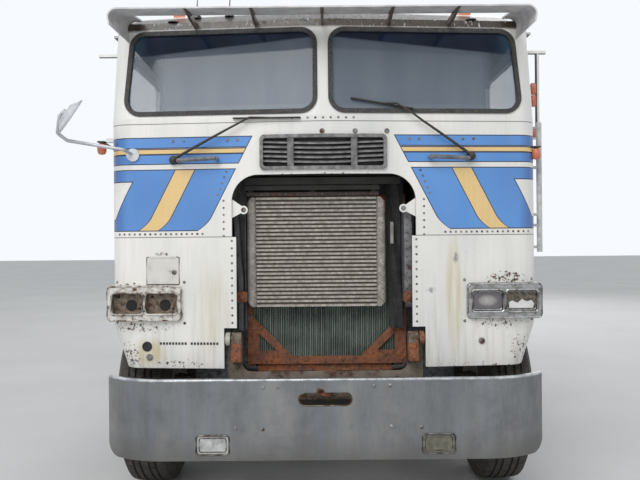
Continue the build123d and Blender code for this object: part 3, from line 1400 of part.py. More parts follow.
def drive_axle(y):
    """A banjo housing with its tube, spindles, pinion nose and a brake chamber on each side."""
    z = TYRE_RADIUS
    x_tube = DUAL_INNER_X - AXLE_TUBE_GAP
    x_end = DUAL_OUTER_X - REAR_SPINDLE_END
    body = barrel(-x_tube, x_tube, y, z, AXLE_TUBE_RADIUS)
    body += barrel(-x_end, x_end, y, z, REAR_SPINDLE_RADIUS)
    right = [(BANJO_HALF_WIDTH, BANJO_RADIUS), (BANJO_SHOULDER, BANJO_SHOULDER_RADIUS), (BANJO_FOOT, 0)]
    left = [(-x, radius) for x, radius in reversed(right)]
    body += Pos(0, y, z) * revolve(polygon(*right, *left), axis=Axis.X)
    body += cone_along(y - PINION_REACH, y, PINION_Z, PINION_TIP_RADIUS, PINION_RADIUS)
    y_chamber = y + BRAKE_CHAMBER_BEHIND
    chamber = barrel(*BRAKE_CHAMBER_X, y_chamber, z + BRAKE_CHAMBER_RISE, BRAKE_CHAMBER_RADIUS)
    half = AXLE_TUBE_RADIUS / 2
    return joined(body, both_sides(chamber + block(*BRAKE_BRACKET_X, y, y_chamber, z - half, z + half)))


def rear_suspension():
    """An equaliser beam on each side, from axle to axle, under a saddle and a leaf pack."""
    y0 = DRIVE_AXLES_Y["fore"]
    y1 = DRIVE_AXLES_Y["aft"]
    end = BEAM_END_HALF
    low = TYRE_RADIUS - AXLE_TUBE_RADIUS
    front = BOGIE_Y - BEAM_MIDDLE_HALF
    rear = BOGIE_Y + BEAM_MIDDLE_HALF
    under = low - BEAM_DEPTH
    beam = polygon(
        (y0 - end, under), (y0 + end, under), (front, low - BEAM_BELLY), (rear, low - BEAM_BELLY),
        (y1 - end, under), (y1 + end, under), (y1 + end, low), (y1 - end, low), (rear, low + BEAM_CROWN),
        (front, low + BEAM_CROWN), (y0 + end, low), (y0 - end, low)
    )
    x0 = BEAM_X - BEAM_WIDTH / 2
    x1 = BEAM_X + BEAM_WIDTH / 2
    saddle_z = RAIL_BOTTOM - LEAF_SADDLE_DROP
    side = across(beam, x0, x1)
    side += block(x0, x1, BOGIE_Y - SADDLE_HALF, BOGIE_Y + SADDLE_HALF, low, saddle_z)
    tip_front = BOGIE_Y - LEAF_HALF_LENGTH
    tip_rear = BOGIE_Y + LEAF_HALF_LENGTH
    tip_top = LEAF_TIP_Z + LEAF_TIP
    pack = polygon(
        (tip_front, LEAF_TIP_Z), (front, saddle_z), (rear, saddle_z), (tip_rear, LEAF_TIP_Z),
        (tip_rear, tip_top), (rear, LEAF_TOP_Z), (front, LEAF_TOP_Z), (tip_front, tip_top)
    )
    side += across(pack, x0, x1)
    z_bracket = LEAF_TIP_Z - LEAF_TIP
    z_top = z_bracket + LEAF_BRACKET_HEIGHT
    for y in (tip_front, tip_rear - LEAF_BRACKET):
        side += block(RAIL_HALF_SPREAD, x1, y, y + LEAF_BRACKET, z_bracket, z_top)
    return both_sides(side)


def shaft_line(radius):
    """A bar along the main driveshaft's line, from the gearbox to the fore axle's nose."""
    nose_y = DRIVE_AXLES_Y["fore"] - PINION_REACH
    return rod((0, GEARBOX_REAR_Y, GEARBOX_Z), (0, nose_y, PINION_Z), radius)


def driveshafts():
    """The shaft from the gearbox to the fore axle and the short one between the axles, with yokes."""
    fore_y = DRIVE_AXLES_Y["fore"]
    fore_nose = fore_y - PINION_REACH
    aft_nose = DRIVE_AXLES_Y["aft"] - PINION_REACH
    yoke = YOKE_RADIUS
    ends = block(-yoke, yoke, GEARBOX_REAR_Y, GEARBOX_REAR_Y + YOKE_LENGTH, 0, RAIL_TOP)
    ends += block(-yoke, yoke, fore_nose - YOKE_LENGTH, fore_nose, 0, RAIL_TOP)
    room = block(-yoke, yoke, GEARBOX_REAR_Y, fore_nose, 0, RAIL_TOP)
    main = (shaft_line(SHAFT_RADIUS) & room) + (shaft_line(YOKE_RADIUS) & ends)
    link = rod((0, fore_y, PINION_Z), (0, aft_nose, PINION_Z), SHAFT_RADIUS)
    link -= barrel(-yoke, yoke, fore_y, TYRE_RADIUS, BANJO_RADIUS)
    return [main, link + rod((0, aft_nose - YOKE_LENGTH, PINION_Z), (0, aft_nose, PINION_Z), YOKE_RADIUS)]


def fuel_tanks():
    """A cylindrical tank on each side, strapped to two brackets on the rail."""
    centre = Pos(TANK_X, TANK_Z)
    tank = along(centre * Circle(TANK_RADIUS), TANK_START_Y, TANK_END_Y)
    tank = fillet(tank.edges().filter_by(GeomType.CIRCLE), TANK_END_ROUND)
    low = TANK_Z - TANK_RADIUS
    leg = RAIL_HALF_SPREAD + STRAP_LEG
    bracket = polygon(
        (RAIL_HALF_SPREAD, RAIL_TOP - STRAP_LEG), (leg, RAIL_TOP - STRAP_LEG), (leg, TANK_Z), (TANK_X, low),
        (TANK_X, low - STRAP_LEG), (RAIL_HALF_SPREAD, low)
    )
    band = bracket + centre * Circle(TANK_RADIUS + STRAP_THICKNESS)
    for share in STRAP_SHARES:
        y = TANK_START_Y + TANK_LENGTH * share
        tank += along(band, y - STRAP_WIDTH / 2, y + STRAP_WIDTH / 2)
    cap = Pos(TANK_X + FILLER_OUT, TANK_START_Y + FILLER_FROM_FRONT) * Circle(FILLER_RADIUS)
    return both_sides(tank + upward(cap, TANK_Z, TANK_Z + TANK_RADIUS + FILLER_RISE))


def battery_boxes():
    """A stepped box behind each front wheel, which carries the batteries and the steps."""
    y0 = STEP_BOX_START_Y
    y1 = STEP_BOX_END_Y
    outer = STEP_BOX_OUTER_X
    inner = RAIL_HALF_SPREAD + BOX_BRACKET
    box = block(inner, outer, y0, y1, STEP_BOX_BOTTOM, STEP_BOX_TOP)
    for x_inner, z0, z1 in STEPS:
        box -= block(x_inner, outer, y0 + STEP_WALL, y1 - STEP_WALL, z0, z1)
    box += block(
        RAIL_HALF_SPREAD, inner, y0 + BOX_BRACKET_INSET, y1 - BOX_BRACKET_INSET,
        RAIL_BOTTOM + BOX_BRACKET, STEP_BOX_TOP - BOX_BRACKET
    )
    return both_sides(box)


def fifth_wheel():
    """The coupling plate with its throat and kingpin bore, on two pedestals over the rails."""
    under = FIFTH_WHEEL_TOP - FIFTH_WHEEL_PLATE
    plate = Circle(FIFTH_WHEEL_RADIUS) & Rectangle(2 * FIFTH_WHEEL_RADIUS, FIFTH_WHEEL_DEPTH)
    plate += polygon(
        (-RAMP_HALF_WIDTH, RAMP_START), (RAMP_HALF_WIDTH, RAMP_START), (RAMP_TIP_HALF_WIDTH, RAMP_END),
        (-RAMP_TIP_HALF_WIDTH, RAMP_END)
    )
    narrow, wide = THROAT_HALF_WIDTHS
    plate -= polygon((-narrow, THROAT_START), (narrow, THROAT_START), (wide, RAMP_END), (-wide, RAMP_END))
    plate -= Circle(KINGPIN_BORE_RADIUS)
    body = Pos(0, FIFTH_WHEEL_Y, 0) * upward(plate, under, FIFTH_WHEEL_TOP)
    foot = polygon(
        (FIFTH_WHEEL_Y - PEDESTAL_FOOT_HALF, RAIL_TOP), (FIFTH_WHEEL_Y + PEDESTAL_FOOT_HALF, RAIL_TOP),
        (FIFTH_WHEEL_Y + PEDESTAL_HEAD_HALF, under), (FIFTH_WHEEL_Y - PEDESTAL_HEAD_HALF, under)
    )
    return joined(body, both_sides(across(foot, *PEDESTAL_X)))


def mud_flaps():
    """A hanger bar across the rails' ends with a flap on each side."""
    half = FLAP_X + FLAP_WIDTH / 2
    y_bar = FLAP_Y - HANGER_BAR
    z_bar = FLAP_TOP - HANGER_BAR
    bar = block(-half, half, y_bar, FLAP_Y, z_bar, FLAP_TOP)
    arm = block(RAIL_HALF_SPREAD - HANGER_ARM, RAIL_HALF_SPREAD, RAIL_END_Y, y_bar, z_bar, FLAP_TOP)
    flap = block(half - FLAP_WIDTH, half, FLAP_Y, TAIL, FLAP_BOTTOM, FLAP_TOP)
    return joined(bar, both_sides(arm) + both_sides(flap))


def tail_lamps():
    """Round tail lamps on the hanger bar, two on each side of the centre."""
    lamps = []
    for x in TAIL_LAMPS_X:
        face = Pos(x, FLAP_TOP - HANGER_BAR / 2) * Circle(TAIL_LAMP_RADIUS)
        lamps.extend(both_sides(along(face, FLAP_Y, FLAP_Y + TAIL_LAMP_DEPTH)))
    return lamps


def exhaust_stack():
    """An upright muffler with coned ends and an open pipe, on a post and a foot from the rail."""
    bore = STACK_RADIUS - STACK_WALL
    pipe = STACK_RADIUS
    muffler = MUFFLER_RADIUS
    profile = polygon(
        (0, MUFFLER_BOTTOM), (pipe, MUFFLER_BOTTOM), (muffler, MUFFLER_BOTTOM + MUFFLER_CONE),
        (muffler, MUFFLER_TOP - MUFFLER_CONE), (pipe, MUFFLER_TOP), (pipe, STACK_TOP), (bore, STACK_TOP),
        (bore, STACK_TOP - STACK_BORE_DEPTH), (0, STACK_TOP - STACK_BORE_DEPTH)
    )
    body = revolve(Plane.XZ * profile, axis=Axis.Z)
    foot_top = RAIL_TOP + STACK_FOOT_HEIGHT
    foot = STACK_FOOT_HALF
    reach = STACK_FOOT_LAP - RAIL_HALF_SPREAD - STACK_X
    body += block(-foot, reach, -foot, foot, RAIL_TOP, foot_top)
    body += upward(Rectangle(STACK_POST, STACK_POST), foot_top, MUFFLER_BOTTOM)
    return Pos(STACK_X, STACK_Y, 0) * body


def seat():
    """The driver's seat: a pedestal, a cushion with a round front edge and a leaning backrest."""
    y0 = NOSE + SEAT_BACK_START
    y1 = y0 + CUSHION_LENGTH
    y_back = y1 - BACKREST_FORWARD
    x0 = SEAT_X - SEAT_WIDTH / 2
    x1 = SEAT_X + SEAT_WIDTH / 2
    under = SEAT_TOP_Z - CUSHION_THICKNESS
    y_post = y0 + PEDESTAL_SETBACK
    post = block(
        SEAT_X - PEDESTAL_HALF_WIDTH, SEAT_X + PEDESTAL_HALF_WIDTH, y_post, y_post + PEDESTAL_LENGTH,
        FLOOR_Z + FLOOR_THICKNESS, under
    )
    cushion = polygon((y0, under), (y1, under), (y1, SEAT_TOP_Z), (y0, SEAT_TOP_Z))
    cushion = fillet(corners_at(cushion, SEAT_TOP_Z), CUSHION_ROUND)
    top = SEAT_TOP_Z + BACKREST_HEIGHT
    lean = y_back + BACKREST_LEAN
    backrest = polygon(
        (y_back, under), (y_back + BACKREST_THICKNESS, under), (lean + BACKREST_THICKNESS, top), (lean, top)
    )
    backrest = fillet(corners_at(backrest, top), CUSHION_ROUND)
    return post + across(cushion, x0, x1) + across(backrest, x0 + BACKREST_INSET, x1 - BACKREST_INSET)


def bunk():
    """The bunk's mattress on the engine tunnel, behind the seats."""
    y0 = NOSE + SEAT_BACK_START + CUSHION_LENGTH - BACKREST_FORWARD
    y0 += BACKREST_THICKNESS + BACKREST_LEAN + BUNK_BEHIND_SEAT
    y1 = CAB_REAR_Y - CAB_WALL - BUNK_WALL_GAP
    low = TUNNEL_REAR_Z + TUNNEL_WALL
    high = low + BUNK_THICKNESS
    mattress = fillet(corners_at(polygon((y0, low), (y1, low), (y1, high), (y0, high)), high), BUNK_ROUND)
    return across(mattress, -BUNK_HALF_WIDTH, BUNK_HALF_WIDTH)


def dashboard():
    """The dash under the screens, with a sloped brow and knee, following the cab's face."""
    low = TUNNEL_FRONT_Z + TUNNEL_WALL
    lip_z = DASH_LIP[1]
    profile = polygon(
        (0, low), (DASH_KNEE, low), (DASH_DEPTH, DASH_KNEE_TOP_Z), DASH_BROW, DASH_LIP, (0, lip_z)
    )
    dash = across(Pos(NOSE, 0) * profile, -DASH_HALF_WIDTH, DASH_HALF_WIDTH)
    return dash & cab_block(CAB_WALL + DASH_WALL_GAP)


def steering_wheel():
    """The steering wheel with four spokes on its column, which a brace ties to the dash."""
    centre = (SEAT_X, NOSE + WHEEL_BACK, WHEEL_Z)
    plane = Plane(origin=centre, z_dir=WHEEL_TILT)
    spokes = Rectangle(2 * WHEEL_RING_RADIUS, WHEEL_SPOKE) + Rectangle(WHEEL_SPOKE, 2 * WHEEL_RING_RADIUS)
    body = plane * Torus(WHEEL_RING_RADIUS, WHEEL_GRIP_RADIUS)
    body += extrude(plane * spokes, amount=WHEEL_SPOKE_THICKNESS / 2, both=True)
    body += extrude(plane * Circle(COLUMN_RADIUS), amount=-COLUMN_LENGTH)
    middle = plane.from_local_coords((0, 0, -COLUMN_LENGTH / 2))
    body += rod((SEAT_X, NOSE + DASH_KNEE, middle.Z), middle, COLUMN_BRACE_RADIUS)
    return body - dashboard()


def grab_rails():
    """A rail ahead of each door on stand-offs, and two short handles under the screens."""
    y = NOSE + GRAB_BACK
    rail = rod((GRAB_X, y, GRAB_BOTTOM), (GRAB_X, y, GRAB_TOP), GRAB_RADIUS)
    for z in GRAB_STANDOFFS_Z:
        rail += barrel(CAB_HALF_WIDTH, GRAB_X, y, z, GRAB_STANDOFF_RADIUS)
    ends = [(x, face_y(x) - HANDLE_STANDOFF, z) for x, z in HANDLE_ENDS]
    handle = rod(*ends, HANDLE_RADIUS)
    for x, y_bar, z in ends:
        handle += along(Pos(x, z) * Circle(HANDLE_LEG_RADIUS), y_bar, FRONT_SPLIT_Y)
    return [rail] + both_sides(handle - CAB_SOLID)


def round_mirror():
    """The convex mirror: a disc with a domed shell and a boss behind it, on a bent arm from the corner."""
    centre = Vector(MIRROR_X, NOSE + MIRROR_BACK, MIRROR_Z)
    plane = Plane(origin=centre, z_dir=MIRROR_FACING)
    shell_end = MIRROR_RIM + MIRROR_SHELL_DEPTH
    head = extrude(plane * Circle(MIRROR_RADIUS), amount=-MIRROR_RIM)
    head += loft([
        plane.offset(-MIRROR_RIM) * Circle(MIRROR_RADIUS - MIRROR_RIM),
        plane.offset(-shell_end) * Circle(MIRROR_RADIUS / 2),
    ], ruled=True)
    head += extrude(plane.offset(-shell_end) * Circle(MIRROR_BOSS_RADIUS), amount=-MIRROR_BOSS_LENGTH)
    boss = plane.from_local_coords((0, 0, -shell_end - MIRROR_BOSS_LENGTH / 2))
    route = [(x, NOSE + back, z) for x, back, z in MIRROR_ROUTE]
    arm = bent_tube([*route, boss], MIRROR_TUBE_RADIUS, MIRROR_TUBE_BEND)
    foot_x, foot_z = MIRROR_FOOT
    foot = Pos(foot_x, foot_z) * Circle(MIRROR_FOOT_RADIUS)
    flange = along(foot, face_y(foot_x) - MIRROR_FOOT_PROUD, FRONT_SPLIT_Y)
    return (arm + head + flange) - CAB_SOLID


def mirror_arms():
    """The two arms that carry a mirror on the door: a crossbar above, a plain arm below."""
    y0 = NOSE + MIRROR_ARM_BACK - MIRROR_ARM_WIDTH / 2
    y1 = y0 + MIRROR_ARM_WIDTH
    x0 = CAB_HALF_WIDTH - CAB_WALL
    x_lower = MIRROR_POST_X + MIRROR_ARM_WIDTH / 2
    upper = UPPER_ARM_HEIGHT / 2
    lower = LOWER_ARM_HEIGHT / 2
    arms = block(x0, MIRROR_ARM_X, y0, y1, UPPER_ARM_Z - upper, UPPER_ARM_Z + upper)
    arms += block(x0, x_lower, y0, y1, LOWER_ARM_Z - lower, LOWER_ARM_Z + lower)
    return arms - CAB_SOLID


def mirror_post():
    """The post between the arms, left on the driver's side only."""
    y = NOSE + MIRROR_ARM_BACK
    return rod((MIRROR_POST_X, y, LOWER_ARM_Z), (MIRROR_POST_X, y, UPPER_ARM_Z), MIRROR_POST_RADIUS)


def build():
    """Every node's shapes by name."""
    driver_door = door() + mirror_arms()
    driver_pane = pane_layer(door_window())
    driver_knuckle = knuckle()
    front_tyre = tyre(FRONT_WHEEL_X, FRONT_AXLE_Y)
    rim = front_rim()
    parts = {
        "frame_rails": frame_rails(),
        "crossmembers": crossmembers(),
        "front_crossmember": [front_crossmember()],
        "bumper": [bumper()],
        "driving_lamps": driving_lamps(),
        "radiator_frame": [radiator_frame()],
        "radiator_core": [radiator_core()],
        "charge_air_cooler": [charge_air_cooler()],
        "engine_and_gearbox": [engine()],
        "front_axle": [front_axle()],
        "front_springs": front_springs(),
        "drive_axles": [drive_axle(y) for y in DRIVE_AXLES_Y.values()],
        "rear_suspension": rear_suspension(),
        "driveshafts": driveshafts(),
        "fuel_tanks": fuel_tanks(),
        "battery_boxes": battery_boxes(),
        "fifth_wheel": [fifth_wheel()],
        "mud_flaps": [mud_flaps()],
        "tail_lamps": tail_lamps(),
        "exhaust_stack": [exhaust_stack()],
        "front_panel": [front_panel()],
        "corner_panels": corner_panels(),
        "side_walls": both_sides(side_wall()),
        "rear_wall": [rear_wall()],
        "roof": [roof()],
        "cab_floor": [cab_floor()],
        "cab_glass": cab_glass(),
        "windshield_seals": both_sides(windshield_seal()),
        "visor": [visor()],
        "intake_louvre": [intake_louvre()],
        "headlamp_bezels": both_sides(headlamp_bezel()),
        "headlamps": headlamps(),
        "marker_lamps": marker_lamps(),
        "grab_rails": grab_rails(),
        "round_mirror": [round_mirror()],
        "seats": both_sides(seat()) + [bunk()],
        "dashboard": [dashboard()],
        "steering_wheel": [steering_wheel()],
        "door_left": [driver_door + mirror_post()],
        "door_right": [mirrored(driver_door)],
        "door_glass_left": [driver_pane],
        "door_glass_right": [mirrored(driver_pane)],
        "knuckle_left": [driver_knuckle],
        "knuckle_right": [mirrored(driver_knuckle)],
        "tie_rod": [tie_rod()],
        "front_tyre_left": [front_tyre],
        "front_tyre_right": [mirrored(front_tyre)],
        "front_rim_left": [rim],
        "front_rim_right": [mirrored(rim)],
    }
    for name, y in DRIVE_AXLES_Y.items():
        tyres = [tyre(DUAL_INNER_X, y), tyre(DUAL_OUTER_X, y)]
        rims = dual_rims(y)
        parts[f"{name}_tyres_left"] = tyres
        parts[f"{name}_tyres_right"] = [mirrored(one) for one in tyres]
        parts[f"{name}_rims_left"] = rims
        parts[f"{name}_rims_right"] = [mirrored(one) for one in rims]
    return parts


os.makedirs("parts", exist_ok=True)
for node, shapes in build().items():
    export_step(group(shapes), f"parts/{node}.step")
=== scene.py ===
"""Looks of a cab-over truck tractor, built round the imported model. Metres, +Z up, the nose at -Y."""

import functools
import math

import bmesh
import bpy
from mathutils import Matrix, Vector
from mathutils.bvhtree import BVHTree


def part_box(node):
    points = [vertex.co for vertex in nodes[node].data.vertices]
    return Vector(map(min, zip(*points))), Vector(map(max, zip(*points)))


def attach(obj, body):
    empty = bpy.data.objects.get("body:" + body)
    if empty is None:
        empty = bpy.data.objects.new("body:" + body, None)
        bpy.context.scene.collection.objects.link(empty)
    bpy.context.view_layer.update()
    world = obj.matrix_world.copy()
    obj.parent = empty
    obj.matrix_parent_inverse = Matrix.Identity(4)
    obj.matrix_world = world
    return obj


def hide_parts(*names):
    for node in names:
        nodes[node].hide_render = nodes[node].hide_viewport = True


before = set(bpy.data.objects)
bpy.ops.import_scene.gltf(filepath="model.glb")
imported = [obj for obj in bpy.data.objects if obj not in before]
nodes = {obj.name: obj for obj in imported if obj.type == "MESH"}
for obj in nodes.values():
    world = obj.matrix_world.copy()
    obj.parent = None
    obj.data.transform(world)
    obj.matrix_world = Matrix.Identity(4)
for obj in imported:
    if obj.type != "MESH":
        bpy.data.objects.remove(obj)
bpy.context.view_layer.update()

# Places read from the frame
NOSE_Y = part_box("bumper")[0].y
CAB_FACE_Y = NOSE_Y + 0.11
CAB_REAR_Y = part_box("rear_wall")[1].y
ROOF_EDGE_Y = CAB_FACE_Y + 0.205

# Livery: bands by height, and slanted edges by their distance across at the top of the main block
SEAM_Z = 1.470
DRIP_Z = 2.100
LIVERY_INNER = 0.462
LIVERY_SLANT = 0.52
LIVERY_TOP = 1.827
LIVERY_BOTTOM = 1.504
LIVERY_CURVE_START = 1.575
LIVERY_CURVE = 7.0
UPPER_BLUE = (1.942, 1.997)
UPPER_TAN = (1.910, 1.936)
LOWER_BLUE = (1.857, 1.907)
DIAGONAL = (0.677, 0.783)
NOTCH_EDGE = 0.982
NOTCH_HEIGHTS = (1.565, 1.765)
PINSTRIPE = 0.0026

# The photograph's view: metres from the eye to the bumper's face, then pixels
EYE_Z = 1.47
VIEW_DISTANCE = 3.53
VIEW_FOCAL = 700
VIEW_CENTRE = (324, 236)
VIEW_SIZE = (640, 480)
SENSOR_WIDTH = 36
CAMERA_ROLL = math.radians(0.5)

# Pixels at which the photograph shows fasteners, as (column, row)
LOUVRE_BOLT_PIXELS = ((323, 131), (356, 131), (388, 131))
EAR_BOLT_PIXELS = ((243, 209), (404.5, 208.5))
FLAP_LOCK_PIXEL = (174, 271)
SOCKET_PIXEL = (145.5, 345.5)
BUMPER_BOLT_PIXELS = ((262, 387), (277, 387), (373, 386.4), (389, 386), (234, 427.4), (261, 429), (390, 427),
                      (420, 428))
UPPER_FACE_DEPTH = 0.12
LOWER_FACE_DEPTH = 0.17

# Sizes shared with the solids
BUMPER_TOP = 0.746
BEZEL_Z = 1.122
BEZEL_X = 0.950
LAMP_X = (0.861, 1.039)
BEZEL_SIZE = (0.388, 0.178)
POCKET_SIZE = (0.166, 0.116)
BUCKET_SIZE = (0.162, 0.110)
LAMP_SIZE = (0.150, 0.098)
HANGERS_X = (-0.40, -0.06, 0.275)
COOLER_MIDDLE_X = -0.042
COOLER_HALF_TUBE = 0.328
TYRE_RADIUS = 0.523
TYRE_WIDTH = 0.279
BEAD_RADIUS = 0.286
GROOVE = 0.011
LUGS = 44
WHEEL_NUTS = 10
NUT_CIRCLE = 0.1425
HUB_BOLTS = 8
HUB_CIRCLE = 0.066
VISOR_BRACKETS_X = (0.0, 0.352, 0.677)
VISOR_BRACKET_HALF = 0.009
AERIALS_X = (-0.69, -0.51)
ABOVE_ROOF_Z = 3.2
MIRROR_POST = (1.218, 0.520)
PIVOT = (0.4985, 0.170, 0.930)
DRIVING_LAMP_X = 0.571
DRIVING_LAMP_Z = 0.419
SLOT_Z = 0.647
CHANNEL_FRONT = 0.228
STRIP_FRONT = 0.284
STRIP_TOP_Z = 1.710
OPENING_TOP_Z = 1.785
OPENING_LOW_Z = 0.960
SEAT_X = 0.790
SEAT_TOP_Z = 1.640
SLEEPER_FRONT_Y = NOSE_Y + 1.345
STACK = Vector((-0.780, CAB_REAR_Y + 0.220, 0))

FORWARD = Vector((0, -1, 0))
UP = Vector((0, 0, 1))

# The studio: the sky's colour and its strength as a light, and each lamp's place, aim and power
SKY = (0.93, 0.96, 1.0, 1.0)
SKY_AS_LIGHT = 0.62
SOFT_LAMPS = (
    ((-2.5, -9.0, 7.5), (0, -2.5, 1.5), 420.0),
    ((3.5, 8.0, 6.5), (0, 1.5, 1.0), 260.0),
)
SOFT_LAMP_SIZE = 6.0

# Heads of fasteners: radius and height
RIVET = (0.0062, 0.0034)
SMALL_RIVET = (0.006, 0.003)
SCREW = (0.008, 0.005)

# Colours out of 255, as seen on screen
WHITE = (244, 241, 235)
NAVY = (28, 40, 70)
BLUE = (98, 156, 224)
DEEP_BLUE = (46, 84, 150)
TAN = (236, 202, 140)
RUST = (108, 76, 54)
DARK_RUST = (58, 45, 37)
DUST = (150, 138, 118)
GRIME = (58, 54, 46)


def linear(colour):
    """The linear form of a colour out of 255."""
    def channel(value):
        share = value / 255
        return share / 12.92 if share <= 0.04045 else ((share + 0.055) / 1.055) ** 2.4
    return (*map(channel, colour), 1.0)


class Value:
    """The output of a shader node. Its operators and methods add the nodes that come after it."""

    def __init__(self, finish, socket):
        self.finish = finish
        self.socket = socket

    def __add__(self, other):
        return self.finish.math("ADD", self, other)

    def __sub__(self, other):
        return self.finish.math("SUBTRACT", self, other)

    def __rsub__(self, other):
        return self.finish.math("SUBTRACT", other, self)

    def __mul__(self, other):
        return self.finish.math("MULTIPLY", self, other)

    def __truediv__(self, other):
        return self.finish.math("DIVIDE", self, other)

    def __lt__(self, other):
        return self.finish.math("LESS_THAN", self, other)

    def __gt__(self, other):
        return self.finish.math("GREATER_THAN", self, other)

    def __abs__(self):
        return self.finish.math("ABSOLUTE", self)

    def waves(self, pitch):
        """A sine wave along the value."""
        return self.finish.math("SINE", self * (2 * math.pi / pitch))

    def fade(self, start, end, low=0.0, high=1.0):
        """Runs from low, where the value is start, to high, where it is end, and stays there."""
        inputs = {"Value": self, "From Min": start, "From Max": end, "To Min": low, "To Max": high}
        return self.finish.add("MapRange", "Result", inputs)

    def tones(self, start, end, first, second):
        """Runs from the first colour, where the value is start, to the second, where it is end."""
        return self.finish.mix(self.fade(start, end), first, second)

    def covered(self, share, colour):
        """This colour, with a share of another over it."""
        return self.finish.mix(share, self, colour)


class Finish:
    """The node graph of one material."""

    def __init__(self, name, roughness=0.5, metallic=0.0, coat=0.0):
        self.material = bpy.data.materials.new(name)
        self.material.use_nodes = True
        self.nodes = self.material.node_tree.nodes
        self.links = self.material.node_tree.links
        self.shader = self.nodes["Principled BSDF"]
        self.set(roughness=roughness, metallic=metallic, coat_weight=coat)
        coordinates = self.nodes.new("ShaderNodeTexCoord")
        self.place = Value(self, coordinates.outputs["Object"])
        self.x, self.y, self.z = self.split(self.place)
        self.facing = self.split(Value(self, coordinates.outputs["Normal"]))

    def feed(self, value, socket):
        """Puts a number, a colour out of 255 as a tuple, or another node's output into a socket."""
        if isinstance(value, Value):
            self.links.new(value.socket, socket)
        else:
            socket.default_value = linear(value) if isinstance(value, tuple) else value

    def set(self, **sockets):
        """Feeds the shader's sockets, named in lower case with underscores."""
        for name, value in sockets.items():
            self.feed(value, self.shader.inputs[name.replace("_", " ").title()])

    def add(self, kind, output, inputs, **settings):
        """A new node, with its settings and inputs by name or number. Gives one of its outputs."""
        node = self.nodes.new("ShaderNode" + kind)
        for name, value in settings.items():
            setattr(node, name, value)
        for name, value in inputs.items():
            self.feed(value, node.inputs[name])
        return Value(self, node.outputs[output])

    def split(self, vector):
        node = self.nodes.new("ShaderNodeSeparateXYZ")
        self.feed(vector, node.inputs[0])
        return [Value(self, output) for output in node.outputs]

    def math(self, operation, first, second=0.0):
        return self.add("Math", 0, {0: first, 1: second}, operation=operation)

    def mix(self, share, first, second):
        return self.add("Mix", 2, {0: share, 6: first, 7: second}, data_type="RGBA")

    def mix_numbers(self, share, first, second):
        return self.add("Mix", 0, {0: share, 2: first, 3: second})

    def largest(self, first, *others):
        for other in others:
            first = self.math("MAXIMUM", first, other)
        return first

    def stretched(self, stretch, shift):
        """The object's coordinates, scaled along each axis and moved."""
        inputs = {"Vector": self.place, "Scale": Vector(stretch),
                  "Location": Vector((shift, shift * 0.7, shift * 1.3))}
        return self.add("Mapping", "Vector", inputs)

    def noise(self, scale, detail=4.0, stretch=(1, 1, 1), shift=0.0, roughness=0.55):
        inputs = {"Vector": self.stretched(stretch, shift), "Scale": scale, "Detail": detail,
                  "Roughness": roughness}
        return self.add("TexNoise", "Fac", inputs)

    def cells(self, scale, stretch=(1, 1, 1)):
        """The distance to the nearest of many scattered points."""
        return self.add("TexVoronoi", "Distance", {"Vector": self.stretched(stretch, 0.0), "Scale": scale})

    def apart(self, x, z, wide, high):
        """The squared distance from (x, z) on the front of the truck, one at the edge of an ellipse."""
        across = (self.x - x) / wide
        upward = (self.z - z) / high
        return across * across + upward * upward

    def blot(self, x, z, wide, high, reach):
        """As much as reach near (x, z) on the front of the truck, fading to nought at the blot's edge."""
        return self.apart(x, z, wide, high).fade(0.15, 1.0, reach, 0.0) * (self.y < NOSE_Y + 0.6)

    def blots(self, marks):
        return self.largest(*[self.blot(*mark) for mark in marks])

    def bump(self, height, strength, distance):
        """Gives the surface its relief, and hands over the finished material."""
        inputs = {"Strength": strength, "Distance": distance, "Height": height}
        self.set(normal=self.add("Bump", "Normal", inputs))
        return self.material


# Marks on the cab's face, as x, z, half width, half height and strength
YELLOW_STREAKS = (
    (0.685, 1.16, 0.05, 0.34, 0.6), (-0.60, 1.10, 0.10, 0.28, 0.35), (-0.93, 0.86, 0.10, 0.09, 0.7),
)
SCRAPES = (
    (0.694, 1.352, 0.020, 0.034, 0.9), (0.560, 1.180, 0.030, 0.018, 0.8), (-0.870, 1.382, 0.032, 0.013, 0.9),
)
RUST_MARKS = (
    (0.96, 1.235, 0.16, 0.06, 0.9), (0.93, 1.01, 0.22, 0.05, 0.75), (1.05, 0.86, 0.12, 0.12, 0.7),
    (-0.98, 1.212, 0.22, 0.035, 0.8), (-0.98, 1.00, 0.26, 0.06, 0.7), (-1.06, 0.84, 0.14, 0.10, 0.8),
    (-0.76, 0.80, 0.2, 0.04, 0.7), (-0.83, 1.36, 0.05, 0.05, 0.7), (0.0, 1.790, 0.45, 0.016, 0.7),
    (0.0, 2.63, 1.2, 0.05, 0.8),
)


